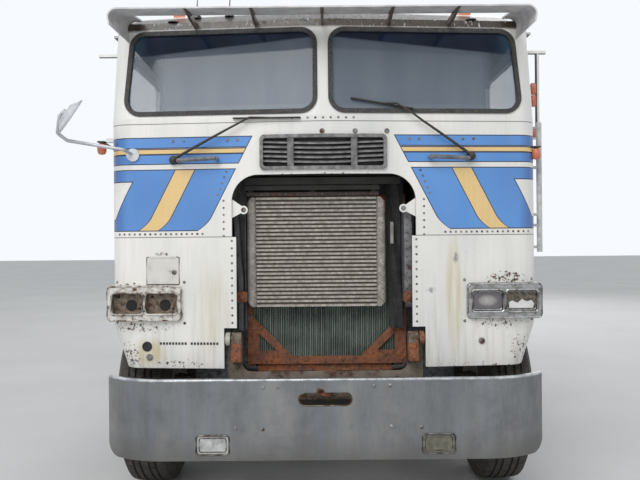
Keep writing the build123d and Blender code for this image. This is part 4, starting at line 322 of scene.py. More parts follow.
def livery(look, white):
    """White paint with the blue blocks, tan bands and navy pinstripes of the livery."""
    across = abs(look.x)
    curl = look.largest(LIVERY_CURVE_START - look.z, 0.0)
    edge = across - ((LIVERY_TOP - look.z) * LIVERY_SLANT + curl * curl * LIVERY_CURVE)
    inner = LIVERY_INNER - edge

    def band(low, high):
        return look.largest(look.z - high, low - look.z)

    upper = look.largest(band(*UPPER_BLUE), inner)
    tan_line = look.largest(band(*UPPER_TAN), inner)
    lower = look.largest(band(*LOWER_BLUE), inner)
    main = look.largest(band(LIVERY_BOTTOM, LIVERY_TOP), inner)
    diagonal = look.largest(main, DIAGONAL[0] - edge, edge - DIAGONAL[1])
    notch = look.largest(band(*NOTCH_HEIGHTS), NOTCH_EDGE - edge)
    faded = look.noise(1.8, detail=2).fade(0.3, 0.7, 0.0, 0.35)
    blue = look.mix(look.largest(across.fade(1.02, 1.13, 0.0, 0.9), faded), BLUE, DEEP_BLUE)
    coat = white
    for distance, tone in ((upper, blue), (lower, blue), (main, blue), (tan_line, TAN), (diagonal, TAN),
                           (notch, white)):
        coat = coat.covered(distance < 0.0, tone)
    lines = [abs(distance) < PINSTRIPE for distance in (upper, tan_line, lower, main, diagonal)]
    notch_line = (abs(notch) < PINSTRIPE) * (main < 0.0)
    return coat.covered(look.largest(*lines, notch_line), NAVY)


def cab_paint():
    """White cab paint: livery, dust, chips, rust, a mossy header in painted visor shade, and a grey liner on
    inner faces.
    """
    look = Finish("cab_paint", roughness=0.38, coat=0.25)
    facing_x, facing_y, facing_z = look.facing
    ahead = look.y < CAB_FACE_Y + 0.5
    white = look.noise(3.2, detail=6, stretch=(1, 1, 0.35)).tones(0.35, 0.75, WHITE, (218, 218, 214))
    rearward = (look.y > CAB_REAR_Y - 0.06) * (facing_y > 0.35)
    coat = livery(look, white).covered(rearward, white)
    for level in (SEAM_Z, DRIP_Z - 0.030):
        coat = coat.covered((abs(look.z - level) < 0.0022) * ahead * 0.8, GRIME)

    streaks = look.noise(7.0, detail=5, stretch=(6, 6, 0.35), shift=3.0)
    coat = coat.covered(streaks.fade(0.45, 0.8) * (look.z.fade(1.3, 0.8) * 0.35 + 0.12), DUST)
    driver_streak, inner_streak, low_streak = [look.blot(*mark) for mark in YELLOW_STREAKS]
    yellow = (driver_streak + inner_streak + low_streak) * streaks.fade(0.25, 0.6)
    coat = coat.covered(yellow, (206, 186, 128))
    scratches = look.noise(80.0, detail=5, stretch=(1, 1, 0.5), shift=4.0).fade(0.40, 0.55)
    coat = coat.covered(look.blots(SCRAPES) * scratches, (150, 146, 144))

    rough_patch = look.noise(58.0, detail=9, shift=1.0, roughness=0.68)
    edges = look.largest(look.blots(RUST_MARKS), look.z.fade(0.84, 0.775, 0.0, 0.55))
    rusty = (rough_patch + edges * 0.22).fade(0.69, 0.74)
    coat = coat.covered(rusty, look.noise(90.0).tones(0.4, 0.6, RUST, DARK_RUST))
    chips = look.cells(34.0) < look.noise(5.0, shift=7.0).fade(0.5, 0.75, 0.02, 0.10)
    coat = coat.covered(chips * 0.75, GRIME)
    # The dark brown strip on the header under the visor: partly mossy dirt, partly painted visor shade.
    growth = look.noise(60.0, detail=7, stretch=(1, 1, 0.5), shift=5.0)
    moss_and_visor_shade = look.z.fade(2.570, 2.586) * look.y.fade(ROOF_EDGE_Y + 0.05, ROOF_EDGE_Y + 0.02)
    coat = coat.covered(moss_and_visor_shade * growth.fade(0.22, 0.40), growth.tones(0.35, 0.62, (32, 27, 23), (74, 62, 48)))

    inside = look.largest(facing_x * look.x < -0.3, (facing_y > 0.5) * ahead,
                          (facing_y < -0.5) * (look.y > CAB_REAR_Y - 0.2), (facing_z < -0.6) * (look.z > 1.0))
    liner = look.noise(40.0).tones(0.3, 0.7, (96, 100, 106), (78, 82, 88))
    look.set(base_color=coat.covered(inside, liner),
             roughness=look.largest(rusty * 0.85, inside * 0.7, streaks.fade(0.3, 0.8, 0.32, 0.5)))
    return look.bump(rusty * -0.4 + look.noise(9.0, detail=2, shift=2.0) * 0.25, 0.25, 0.004)


def brushed_steel():
    """The bumper: bright steel brushed upright, gone grey and blotched, with dents and dirt."""
    look = Finish("brushed_steel", metallic=0.85)
    brushed = look.noise(60.0, detail=6, stretch=(9, 9, 0.18))
    broad = look.noise(2.2, detail=5, stretch=(2.2, 1, 0.5), shift=4.0)
    blotches = look.noise(7.0, detail=7, shift=12.0, roughness=0.65)
    bluish = look.noise(3.5, detail=6, stretch=(7, 1, 0.4), shift=9.0)
    speckle = look.cells(70.0) < look.noise(4.0, shift=6.0).fade(0.45, 0.75, 0.0, 0.13)
    base = broad.tones(0.35, 0.7, (152, 153, 153), (116, 118, 120))
    base = base.covered(brushed.fade(0.35, 0.7, 0.0, 0.35), (168, 170, 172))
    base = base.covered(blotches.fade(0.45, 0.7, 0.0, 0.5), (104, 106, 110))
    base = base.covered(bluish.fade(0.52, 0.72, 0.0, 0.45), (128, 136, 150))
    base = base.covered(look.z.fade(0.47, 0.34) * 0.5, (108, 104, 92))
    look.set(base_color=base.covered(speckle * 0.6, (92, 74, 54)),
             roughness=brushed.fade(0.3, 0.75, 0.26, 0.5))
    return look.bump(brushed * 0.15 + look.noise(3.0, detail=1), 0.12, 0.012)


def worn_metal(name, bright, dull, roughness=0.35, metallic=1.0, rust=0.0, scale=30.0):
    """Bare or plated metal with dull patches and, where rust is above nought, rust spots."""
    look = Finish(name, metallic=metallic)
    patches = look.noise(scale, detail=6)
    fine = look.noise(scale * 7, detail=3, shift=2.0)
    spots = (patches + fine * 0.3).fade(0.83 - rust, 0.90 - rust)
    base = patches.tones(0.38, 0.66, bright, dull)
    look.set(base_color=base.covered(spots, fine.tones(0.35, 0.65, RUST, DARK_RUST)),
             metallic=spots.fade(0.0, 1.0, metallic, 0.0),
             roughness=patches.fade(0.3, 0.8, roughness, roughness + 0.25) + spots * 0.3)
    return look.bump(spots * 0.6 + fine * 0.4, 0.25, 0.0015)


def painted(name, first, second, roughness=0.5, dust=0.3, rust=0.0, scale=14.0):
    """Old paint: two close tones, dust that lies on what faces up, and rust spots."""
    look = Finish(name)
    patches = look.noise(scale, detail=6)
    fine = look.noise(scale * 9, detail=4, shift=1.0)
    dusting = (look.facing[2].fade(0.1, 0.9) * 0.7 + 0.3) * fine.fade(0.3, 0.7) * dust
    spots = (patches + fine * 0.35).fade(0.86 - rust, 0.93 - rust)
    base = patches.tones(0.35, 0.65, first, second).covered(dusting, DUST)
    look.set(base_color=base.covered(spots, fine.tones(0.4, 0.6, RUST, DARK_RUST)),
             roughness=fine.fade(0.2, 0.8, roughness, roughness + 0.2))
    return look.bump(fine + spots, 0.2, 0.0015)


def bezel_metal():
    """The lamp bezels: white and corroded on the passenger's side, worn chrome on the driver's."""
    look = Finish("bezel_metal")
    patches = look.noise(34.0, detail=7)
    fine = look.noise(150.0, detail=4, shift=2.0)
    driver = look.x > 0.0
    chalky = patches.tones(0.4, 0.62, (222, 219, 212), (170, 160, 148))
    plated = patches.tones(0.38, 0.66, (176, 176, 176), (122, 119, 116))
    spots = (patches + fine * 0.3).fade(0.745, 0.80) * driver.fade(0.0, 1.0, 1.0, 0.25)
    base = chalky.covered(driver, plated)
    look.set(base_color=base.covered(spots, fine.tones(0.35, 0.65, RUST, DARK_RUST)),
             metallic=driver * spots.fade(0.0, 1.0, 0.8, 0.0), roughness=patches.fade(0.3, 0.8, 0.3, 0.6))
    return look.bump(spots * 0.6 + fine, 0.3, 0.0015)


def visor_finish():
    """The visor: chalky white sheet, on brackets gone dark with rust."""
    look = Finish("visor_finish")
    patches = look.noise(14.0, detail=6)
    facing_x, _, facing_z = look.facing
    across = abs(look.x)
    bracket = (abs(facing_x) > 0.6) * (across < 0.8)
    for x in VISOR_BRACKETS_X:
        near = abs(across - x) < VISOR_BRACKET_HALF
        bracket = look.largest(bracket, near * (facing_z < -0.2))
    sheet = patches.tones(0.35, 0.65, (222, 221, 219), (192, 189, 190))
    dark = look.noise(60.0, detail=5, shift=3.0).tones(0.4, 0.62, (70, 62, 58), (112, 92, 80))
    look.set(base_color=sheet.covered(bracket, dark))
    return look.bump(patches, 0.15, 0.001)


def rail_paint():
    """The hand rails: white at the cab's side, bare grey on the two handles of its face."""
    look = Finish("rail_paint", roughness=0.45)
    patches = look.noise(26.0, detail=6)
    bare = patches.tones(0.35, 0.65, (132, 132, 134), (92, 92, 96))
    white = patches.tones(0.35, 0.65, (220, 220, 219), (186, 185, 184))
    look.set(base_color=bare.covered(abs(look.x) > 1.0, white))
    return look.bump(patches, 0.15, 0.001)


def rusted_iron():
    """The radiator's frame and brackets: even orange-brown rust with darker scale."""
    look = Finish("rusted_iron", roughness=0.85)
    broad = look.noise(9.0, detail=6)
    fine = look.noise(70.0, detail=6, shift=2.0)
    pale = look.noise(22.0, detail=5, shift=8.0).fade(0.6, 0.72, 0.0, 0.6)
    base = broad.tones(0.35, 0.68, (160, 98, 62), (112, 80, 66)).covered(fine.fade(0.5, 0.72), (66, 42, 34))
    look.set(base_color=base.covered(pale, (188, 138, 98)))
    return look.bump(broad + fine, 0.5, 0.003)


def radiator_fins():
    """Corroded green-grey fins with fine upright ribs, dirt on the ribs and painted shade between them."""
    look = Finish("radiator_fins", metallic=0.3, roughness=0.6)
    ribs = look.x.waves(0.0102)
    patches = look.noise(8.0, detail=6)
    dirt = look.noise(45.0, detail=6, stretch=(3, 1, 0.4), shift=3.0).fade(0.55, 0.8, 0.0, 0.5)
    pale = look.noise(160.0, detail=2, stretch=(1, 1, 0.3), shift=6.0).fade(0.6, 0.72, 0.0, 0.6)
    fins = patches.tones(0.35, 0.68, (172, 184, 176), (134, 146, 140)).covered(dirt, GRIME)
    # The dark tone between the ribs is painted shade.
    shaded_gaps = patches.tones(0.4, 0.6, (82, 88, 80), (58, 62, 56))
    base = shaded_gaps.covered(ribs.fade(0.1, 0.75), fins)
    look.set(base_color=base.covered(pale * ribs.fade(0.0, 0.6), (196, 210, 200)))
    return look.bump(ribs, 0.8, 0.002)


def cooler_alloy():
    """Oxidised aluminium tubes, pale and mottled, with painted shade on their lower sides and between them."""
    look = Finish("cooler_alloy", metallic=0.25, roughness=0.55)
    patches = look.noise(38.0, detail=6)
    fine = look.noise(260.0, detail=4, shift=4.0)
    tank = abs(look.x - COOLER_MIDDLE_X) > COOLER_HALF_TUBE
    speckle = look.noise(210.0, detail=5, shift=9.0).fade(0.44, 0.58)
    base = patches.tones(0.35, 0.65, (206, 198, 188), (158, 150, 140))
    base = base.covered(fine.fade(0.5, 0.7, 0.0, 0.6), (104, 96, 88))
    # Painted shade on the tubes' downward faces.
    base = base.covered(look.facing[2].fade(0.1, -0.7) * 0.75, (52, 44, 38))
    base = base.covered(tank * speckle * 0.8, (112, 106, 102))
    # Painted shade on the fins set back between the tubes.
    tube_gap_shade = look.y.fade(NOSE_Y + 0.285, NOSE_Y + 0.292)
    look.set(base_color=base.covered(tube_gap_shade * 0.85, (74, 64, 58)))
    return look.bump(patches + fine, 0.35, 0.0015)


def rubber(name, tone, dust):
    """Weathered black rubber, whose tone is its lowest value out of 255."""
    look = Finish(name, roughness=0.75)
    patches = look.noise(20.0, detail=6)
    base = patches.tones(0.3, 0.7, (tone, tone, tone + 2), (tone + 22, tone + 22, tone + 24))
    look.set(base_color=base.covered(look.noise(90.0, detail=4, shift=2.0).fade(0.45, 0.8, 0.0, dust), DUST))
    return look.bump(look.noise(300.0, detail=3), 0.15, 0.0008)


def tyre_rubber():
    """Dusty tyre rubber."""
    look = Finish("tyre_rubber", roughness=0.82)
    base = look.noise(16.0, detail=6).tones(0.3, 0.7, (38, 38, 39), (62, 60, 58))
    dust = look.noise(40.0, detail=6, shift=3.0).fade(0.35, 0.75, 0.0, 0.45)
    look.set(base_color=base.covered(dust, (118, 108, 94)))
    return look.bump(look.noise(420.0, detail=2), 0.2, 0.001)


def door_glass():
    """The doors' clear bluish glass under a cloudy film of dust."""
    look = Finish("door_glass", roughness=0.06)
    cloud = look.noise(3.0, detail=5, shift=2.0)
    look.set(base_color=cloud.tones(0.35, 0.7, (158, 208, 212), (140, 194, 201)),
             alpha=cloud.fade(0.3, 0.7, 0.18, 0.26))
    return look.material


def windshield_tint():
    """The windshield: grey-blue film, with a painted reflection of the visor as a navy band whose lower edge
    slants down outwards, and painted cyan light at its outer corners.
    """
    look = Finish("windshield_glass", roughness=0.05)
    across = abs(look.x)
    # Above this slanted edge lies a painted reflection of the visor, as a navy band.
    above = (look.z - (2.526 - across * 0.092)).fade(-0.006, 0.006)
    cloud = look.noise(2.5, detail=5, stretch=(3, 1, 0.5), shift=2.0)
    film = cloud.tones(0.35, 0.7, (128, 138, 150), (112, 122, 136))
    film = film.covered(look.z.fade(2.17, 2.12, 0.0, 0.6), (164, 176, 182))
    band = cloud.tones(0.4, 0.7, (26, 34, 52), (36, 48, 70))
    # Painted cyan light at the outer corners, for the sky seen through the door windows.
    corner = across.fade(0.93, 1.06, 0.0, 0.6) * look.z.fade(2.2, 2.55, 0.2, 1.0)
    hazy = cloud.fade(0.3, 0.7, 0.60, 0.68) - across.fade(0.84, 0.90, 0.0, 0.28)
    look.set(base_color=film.covered(above, band).covered(corner, (96, 138, 158)),
             alpha=look.mix_numbers(above, hazy, 0.92))
    return look.material


def lamp_lens(name, tint):
    """A moulded lamp lens: coloured plastic with fine flutes and some haze."""
    look = Finish(name, roughness=0.12, coat=0.5)
    haze = look.noise(30.0, detail=5).fade(0.4, 0.8, 0.0, 0.35)
    look.set(base_color=look.mix(haze, tint, (200, 190, 176)), alpha=0.9)
    return look.bump(look.x.waves(0.006), 0.4, 0.001)


def headlamp_glass():
    """The headlamps: fluted glass over a grey reflector with a painted highlight at its middle, and the broken
    lamp's bowl.
    """
    look = Finish("headlamp_glass", roughness=0.15, coat=0.6)
    cloud = look.noise(60.0, detail=5)
    # The sound lamp's reflector grows lighter towards its middle: a painted highlight.
    sound = look.apart(LAMP_X[0], BEZEL_Z, 0.05, 0.03).tones(0.05, 1.2, (186, 181, 176), (112, 108, 112))
    sound = sound.covered(cloud.fade(0.4, 0.7, 0.0, 0.35), (96, 92, 96))
    bowl = cloud.tones(0.35, 0.6, (128, 116, 98), (58, 52, 46))
    look.set(base_color=sound.covered(look.x > BEZEL_X, bowl))
    return look.bump(look.x.waves(0.0075), 0.5, 0.001)


def driving_glass():
    """The bumper's lamps: a clear ribbed one, and a crazed dark one on the driver's side."""
    look = Finish("driving_glass", roughness=0.2, coat=0.5)
    cloud = look.noise(34.0, detail=5)
    crack = look.cells(30.0, stretch=(1, 1, 2.2)).fade(0.0, 0.05, 1.0, 0.0)
    clear = cloud.tones(0.35, 0.7, (206, 206, 204), (150, 150, 148))
    dark = cloud.tones(0.35, 0.65, (122, 120, 104), (92, 88, 74)).covered(crack * 0.7, (48, 44, 38))
    look.set(base_color=clear.covered(look.x > 0.0, dark))
    return look.bump(look.x.waves(0.009), 0.4, 0.001)


def vinyl(name, first, second):
    """Grained vinyl or moulded plastic."""
    look = Finish(name, roughness=0.55)
    look.set(base_color=look.noise(12.0, detail=4).tones(0.3, 0.7, first, second))
    return look.bump(look.cells(160.0), 0.3, 0.0006)


def woven(name, first, second):
    """Seat cloth: a fine weave of two threads, with worn patches."""
    look = Finish(name, roughness=0.9)
    weave = look.x.waves(0.0035) * (look.z + look.y).waves(0.0035)
    worn = look.noise(7.0).fade(0.4, 0.8, 0.0, 0.4)
    threads = weave.tones(-0.5, 0.5, first, second)
    look.set(sheen_weight=0.3, base_color=threads.covered(worn, (126, 116, 104)))
    return look.bump(weave, 0.4, 0.0008)


def floor_finish():
    """The studio's pale floor."""
    look = Finish("floor_finish", roughness=0.8)
    look.set(base_color=look.noise(0.8, detail=3).tones(0.3, 0.7, (214, 214, 212), (206, 206, 205)))
    return look.material


# Modelling helpers

def dress(material, *names):
    """Gives the material to CAD nodes, whatever slots they have."""
    for name in names:
        data = nodes[name].data
        if not data.materials:
            data.materials.append(material)
        for index in range(len(data.materials)):
            data.materials[index] = material


def material_of(name):
    """The material that a CAD node already has."""
    return nodes[name].data.materials[0]


def at(x, back, z):
    """A point that far behind the bumper's face."""
    return Vector((x, NOSE_Y + back, z))


def axes_for(direction):
    """A rotation whose Z looks along direction."""
    return Vector(direction).normalized().to_track_quat("Z", "Y").to_matrix().to_4x4()


def circle(radius, sides, height=0.0):
    """Points round the Z axis."""
    angles = [2 * math.pi * side / sides for side in range(sides)]
    return [Vector((radius * math.cos(angle), radius * math.sin(angle), height)) for angle in angles]


def round_rectangle(half_width, half_height, radius, steps=4):
    """(across, up) round a rectangle. The corners are arcs about (half_width, half_height) and its like."""
    points = []
    for along, up, start in ((1, 1, 0), (-1, 1, 90), (-1, -1, 180), (1, -1, 270)):
        for step in range(steps + 1):
            angle = math.radians(start + step * 90 / steps)
            points.append((along * half_width + radius * math.cos(angle),
                           up * half_height + radius * math.sin(angle)))
    return points


def between(first, second, pitch):
    """Evenly spaced points from first to second, about pitch apart."""
    first, second = Vector(first), Vector(second)
    count = max(1, round((second - first).length / pitch))
    return [first.lerp(second, index / count) for index in range(count + 1)]


def levels(low, high, pitch):
    """Evenly spaced numbers from low to high, about pitch apart."""
    return [point.z for point in between((0, 0, low), (0, 0, high), pitch)]


def add_object(name, data):
    made = bpy.data.objects.new(name, data)
    bpy.context.scene.collection.objects.link(made)
    return made


class Piece:
    """Gathers simple solids in one mesh, with each vertex at its place in the truck's frame."""

    def __init__(self, name):
        self.name = name
        self.mesh = bmesh.new()

    def ring(self, points, matrix=Matrix()):
        return [self.mesh.verts.new(matrix @ Vector(point)) for point in points]

    def box(self, low, high, bevel=0.0):
        """A block between two corners, with its edges rounded by bevel."""
        low, high = Vector(low), Vector(high)
        size = Matrix.Diagonal((high - low).to_4d())
        size[3][3] = 1.0
        made = bmesh.ops.create_cube(self.mesh, size=1.0, matrix=Matrix.Translation((low + high) / 2) @ size)
        if bevel:
            edges = {edge for vert in made["verts"] for edge in vert.link_edges}
            bmesh.ops.bevel(self.mesh, geom=list(edges), offset=bevel, segments=2, affect="EDGES")

    def skin(self, rings, closed=False):
        """Faces between each ring of vertices and the next."""
        for first, second in zip(rings, rings[1:]):
            count = len(first)
            for index in range(count if closed else count - 1):
                after = (index + 1) % count
                corners = []
                for vert in (first[index], first[after], second[after], second[index]):
                    if vert not in corners:
                        corners.append(vert)
                if len(corners) > 2:
                    self.mesh.faces.new(corners)

    def prism(self, rings):
        """Closed rings of vertices skinned from the first to the last, with a face over each end."""
        self.mesh.faces.new(rings[0][::-1])
        self.mesh.faces.new(rings[-1])
        self.skin(rings, closed=True)

    def turned(self, centre, direction, profile, sides=24):
        """A solid of revolution. The profile lists (radius, height) from one end to the other."""
        matrix = Matrix.Translation(centre) @ axes_for(direction)
        rings = []
        for radius, height in profile:
            if radius:
                rings.append(self.ring(circle(radius, sides, height), matrix))
            else:
                rings.append(self.ring([(0, 0, height)], matrix) * sides)
        self.skin(rings, closed=True)

    def tube(self, points, radius, sides=10, end_radius=None, closed=False):
        """A round bar or pipe through the points, capped at both ends or closed to a loop."""
        points = [Vector(point) for point in points]
        last = len(points) - 1
        growth = 0.0 if end_radius is None else end_radius - radius
        rings = []
        for index, point in enumerate(points):
            before, after = max(index - 1, 0), min(index + 1, last)
            if closed:
                before, after = index - 1, (index + 1) % len(points)
            matrix = Matrix.Translation(point) @ axes_for(points[after] - points[before])
            rings.append(self.ring(circle(radius + growth * index / last, sides), matrix))
        if closed:
            self.skin(rings + [rings[0]], closed=True)
        else:
            self.prism(rings)

    def dome(self, place, out, radius, height, sides=8):
        """A rivet or screw head on a surface whose outward normal is out."""
        profile = [(radius, -0.001), (radius, height * 0.25), (radius * 0.7, height * 0.8), (0, height)]
        self.turned(place, out, profile, sides)

    def bolt(self, place, out, radius, height=None, washer=True):
        """A hexagon head, on a washer."""
        height = radius * 0.8 if height is None else height
        if washer:
            self.turned(place, out, [(radius * 1.6, -0.001), (radius * 1.6, 0.0025), (0, 0.0025)], 16)
        profile = [(radius, 0.001), (radius, height), (radius * 0.8, height + 0.0015), (0, height + 0.0015)]
        self.turned(place, out, profile, 6)

    def grid(self, columns, rows, place):
        """Rows of vertices. place gives a point from the shares across and along, from 0 to 1."""
        return [[self.mesh.verts.new(place(column / columns, row / rows)) for column in range(columns + 1)]
                for row in range(rows + 1)]

    def slab(self, upper, lower):
        """Closes the space between two grids of vertices of the same shape."""
        for grid, flip in ((upper, False), (lower, True)):
            for first, second in zip(grid, grid[1:]):
                for index in range(len(first) - 1):
                    corners = [first[index], first[index + 1], second[index + 1], second[index]]
                    self.mesh.faces.new(corners[::-1] if flip else corners)
        rims = []
        for grid in (upper, lower):
            right = [row[-1] for row in grid[1:]]
            left = [row[0] for row in grid[1:-1]]
            rims.append(grid[0] + right + grid[-1][-2::-1] + left[::-1])
        self.skin(rims, closed=True)

    def plate(self, low, high, lift, columns=6, rows=4):
        """A thin plate lying on the cab's face between two (x, z) corners, its face raised by lift."""
        def face(inset, height):
            def place(across, up):
                x = low[0] + inset + (high[0] - low[0] - 2 * inset) * across
                z = low[1] + inset + (high[1] - low[1] - 2 * inset) * up
                point, out = on_front(x, z)
                return point + out * height
            return self.grid(columns, rows, place)
        self.slab(face(min(lift, 0.002), lift), face(0.0, -0.001))

    def loop(self, x, z, width, height, corner, radius, names):
        """A round bead along a rectangle with round corners, on the front of the named nodes."""
        points = []
        for across, up in round_rectangle(width / 2 - corner, height / 2 - corner, corner):
            point, _ = on_front(x + across, z + up, names)
            if point is None:
                point = Vector((x + across, points[-1].y if points else 0, z + up))
            points.append(point)
        self.tube(points, radius, 8, closed=True)

    def bucket(self, centre, width, height, depth, wall):
        """An open box behind a lamp: its back at centre, its mouth towards the front."""
        rings = []
        for grow, forward in ((0, 0), (0, depth), (wall, depth), (wall, -wall)):
            half_x, half_z = width / 2 + grow, height / 2 + grow
            rings.append(self.ring([centre + Vector((x * half_x, -forward, z * half_z))
                                    for x, z in ((-1, -1), (1, -1), (1, 1), (-1, 1))]))
        self.prism(rings)

    def data(self, material):
        """Turns the gathered solids into the mesh of an object."""
        bmesh.ops.recalc_face_normals(self.mesh, faces=self.mesh.faces)
        data = bpy.data.meshes.new(self.name)
        self.mesh.to_mesh(data)
        self.mesh.free()
        data.materials.append(material)
        return data

    def done(self, material, body, smooth=35.0, stands_for=()):
        """Makes the object, gives it its material and puts it on its body."""
        data = self.data(material)
        made = add_object(self.name, data)
        if smooth:
            for face in data.polygons:
                face.use_smooth = True
            data.set_sharp_from_angle(angle=math.radians(smooth))
        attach(made, body)
        if stands_for:
            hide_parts(*stands_for)
        return made


@functools.cache
def faces_of(name):
    """A search tree over the faces of a CAD node."""
    data = nodes[name].data
    return BVHTree.FromPolygons([vert.co.copy() for vert in data.vertices],
                                [tuple(face.vertices) for face in data.polygons])


def surface(names, start, direction):
    """Where a ray first meets any of the CAD nodes, and the outward normal there."""
    best = (math.inf, None, None)
    start, direction = Vector(start), Vector(direction).normalized()
    for name in names:
        place, normal, _, distance = faces_of(name).ray_cast(start, direction)
        if place is not None and distance < best[0]:
            best = (distance, place, normal if normal.dot(direction) < 0 else -normal)
    return best[1:]


FRONT_SKINS = ("front_panel", "corner_panels", "side_walls", "roof")
SIDE_SKINS = ("side_walls", "door_left", "door_right", "front_panel", "corner_panels", "roof")


def on_front(x, z, names=FRONT_SKINS):
    """The point of the cab's face, or of other nodes, straight behind (x, z), and its normal."""
    return surface(names, at(x, -0.5, z), -FORWARD)


def on_side(y, z, side):
    """The point of the cab's side at (y, z), and its normal. Side is 1 for the driver's side."""
    return surface(SIDE_SKINS, (2.5 * side, y, z), (-side, 0, 0))


def seen(pixel, behind):
    """(x, z) of what the photograph shows at that pixel, that far behind the bumper's face."""
    metres = (VIEW_DISTANCE + behind) / VIEW_FOCAL
    return (pixel[0] - VIEW_CENTRE[0]) * metres, EYE_Z - (pixel[1] - VIEW_CENTRE[1]) * metres


# Camera, light and floor

def set_camera():
    """The photograph's view: level, rolled by half a degree, its middle moved by the shift."""
    width, height = VIEW_SIZE
    data = bpy.data.cameras.new("camera")
    data.lens = SENSOR_WIDTH * VIEW_FOCAL / width
    data.sensor_width = SENSOR_WIDTH
    data.shift_x = (width / 2 - VIEW_CENTRE[0]) / width
    data.shift_y = (VIEW_CENTRE[1] - height / 2) / width
    camera = add_object("camera", data)
    camera.location = (0.0, NOSE_Y - VIEW_DISTANCE, EYE_Z)
    camera.rotation_euler = (math.radians(90), CAMERA_ROLL, 0)
    bpy.context.scene.camera = camera


def set_light():
    """A pale world, dimmer as a light than as seen, a wide soft lamp ahead and above, and one behind."""
    world = bpy.data.worlds.new("studio")
    bpy.context.scene.world = world
    world.use_nodes = True
    tree = world.node_tree
    sky = tree.nodes["Background"]
    sky.inputs["Color"].default_value = SKY
    rays = tree.nodes.new("ShaderNodeLightPath")
    direct = rays.outputs["Is Camera Ray"]
    for kind in ("Is Glossy Ray", "Is Transmission Ray"):
        either = tree.nodes.new("ShaderNodeMath")
        either.operation = "MAXIMUM"
        tree.links.new(direct, either.inputs[0])
        tree.links.new(rays.outputs[kind], either.inputs[1])
        direct = either.outputs[0]
    strength = tree.nodes.new("ShaderNodeMix")
    tree.links.new(direct, strength.inputs[0])
    strength.inputs[2].default_value = SKY_AS_LIGHT
    strength.inputs[3].default_value = 1.0
    tree.links.new(strength.outputs[0], sky.inputs["Strength"])
    for place, aim, power in SOFT_LAMPS:
        data = bpy.data.lights.new("soft_lamp", "AREA")
        data.size = SOFT_LAMP_SIZE
        data.energy = power
        lamp = add_object("soft_lamp", data)
        lamp.location = place
        lamp.rotation_euler = (Vector(aim) - Vector(place)).to_track_quat("-Z", "Y").to_euler()
    bpy.context.scene.view_settings.view_transform = "Standard"


def lay_floor():
    """A wide floor under the wheels, which isn't part of the truck."""
    piece = Piece("floor")
    piece.box((-30, -30, -0.02), (30, 40, 0.0))
    add_object("floor", piece.data(floor_finish()))


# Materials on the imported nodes

def dress_nodes():
    """Gives each CAD node its material."""
    dress(cab_paint(), "front_panel", "corner_panels", "side_walls", "rear_wall", "roof", "door_left",
          "door_right")
    dress(brushed_steel(), "bumper")
    dress(painted("chassis_paint", (40, 38, 36), (58, 52, 47), 0.6, dust=0.45, rust=0.05),
          "frame_rails", "crossmembers", "front_axle", "front_springs", "drive_axles", "rear_suspension",
          "driveshafts", "knuckle_left", "knuckle_right", "tie_rod")
    dress(painted("crossmember_paint", (138, 128, 116), (102, 88, 76), 0.6, rust=0.12), "front_crossmember")
    dress(painted("engine_paint", (74, 66, 52), (48, 44, 38), 0.6, dust=0.4), "engine_and_gearbox")
    dress(worn_metal("plate_steel", (70, 68, 66), (44, 42, 40), 0.45, rust=0.08), "fifth_wheel")
    dress(rusted_iron(), "radiator_frame")
    dress(radiator_fins(), "radiator_core")
    dress(cooler_alloy(), "charge_air_cooler")
    dress(worn_metal("tank_alloy", (200, 202, 205), (168, 170, 174), 0.24, scale=6.0), "fuel_tanks")
    dress(worn_metal("step_alloy", (170, 172, 175), (120, 122, 124)), "battery_boxes")
    dress(worn_metal("stack_chrome", (190, 188, 184), (120, 112, 104), 0.25, rust=0.03, scale=9.0),
          "exhaust_stack")
    dress(rubber("flap_rubber", 30, 0.25), "mud_flaps")
    dress(rubber("seal_rubber", 44, 0.3), "windshield_seals")
    dress(lamp_lens("red_lens", (150, 26, 20)), "tail_lamps")
    dress(lamp_lens("amber_lens", (214, 104, 48)), "marker_lamps")
    dress(visor_finish(), "visor")
    dress(worn_metal("louvre_metal", (142, 140, 138), (104, 102, 102), 0.5, metallic=0.5), "intake_louvre")
    dress(bezel_metal(), "headlamp_bezels")
    dress(headlamp_glass(), "headlamps")
    dress(driving_glass(), "driving_lamps")
    dress(rail_paint(), "grab_rails")
    dress(worn_metal("mirror_metal", (214, 215, 218), (184, 185, 189), 0.3, 0.6, scale=14.0), "round_mirror")
    dress(windshield_tint(), "cab_glass")
    dress(door_glass(), "door_glass_left", "door_glass_right")
    dress(vinyl("floor_mat", (52, 52, 54), (38, 38, 40)), "cab_floor")
    dress(vinyl("dash_vinyl", (70, 66, 64), (52, 50, 50)), "dashboard", "steering_wheel")
    dress(woven("seat_cloth", (92, 84, 80), (64, 60, 60)), "seats")
    dress(tyre_rubber(), *[name for name in nodes if "tyre" in name])
    dress(painted("rim_paint", (206, 204, 198), (166, 160, 150), 0.4, dust=0.4, rust=0.06),
          *[name for name in nodes if "rim" in name])


# Pieces on the cab's face

def rivet_rows():
    """Rows of round-headed rivets along the seams of the cab's face."""
    piece = Piece("cab_rivets")
    rows = [((-0.16, DRIP_Z - 0.012), (0.16, DRIP_Z - 0.012), 0.04)]
    for side in (-1, 1):
        rows += [
            ((side * 0.64, SEAM_Z + 0.017), (side * 1.09, SEAM_Z + 0.017), 0.028),
            ((side * 0.51, 1.813), (side * 0.558, 1.693), 0.03),
            ((side * 0.527, 1.66), (side * 0.527, 1.475), 0.034),
            ((side * 0.485, 1.449), (side * 0.485, 0.90), 0.04),
        ]
    for start, end, pitch in rows:
        for x, z in between(start, end, pitch):
            place, out = on_front(x, z)
            if place is not None:
                piece.dome(place, out, *RIVET)
    piece.done(worn_metal("rivet_metal", (150, 146, 142), (98, 90, 82), 0.4, 0.4, rust=0.12), "cab")


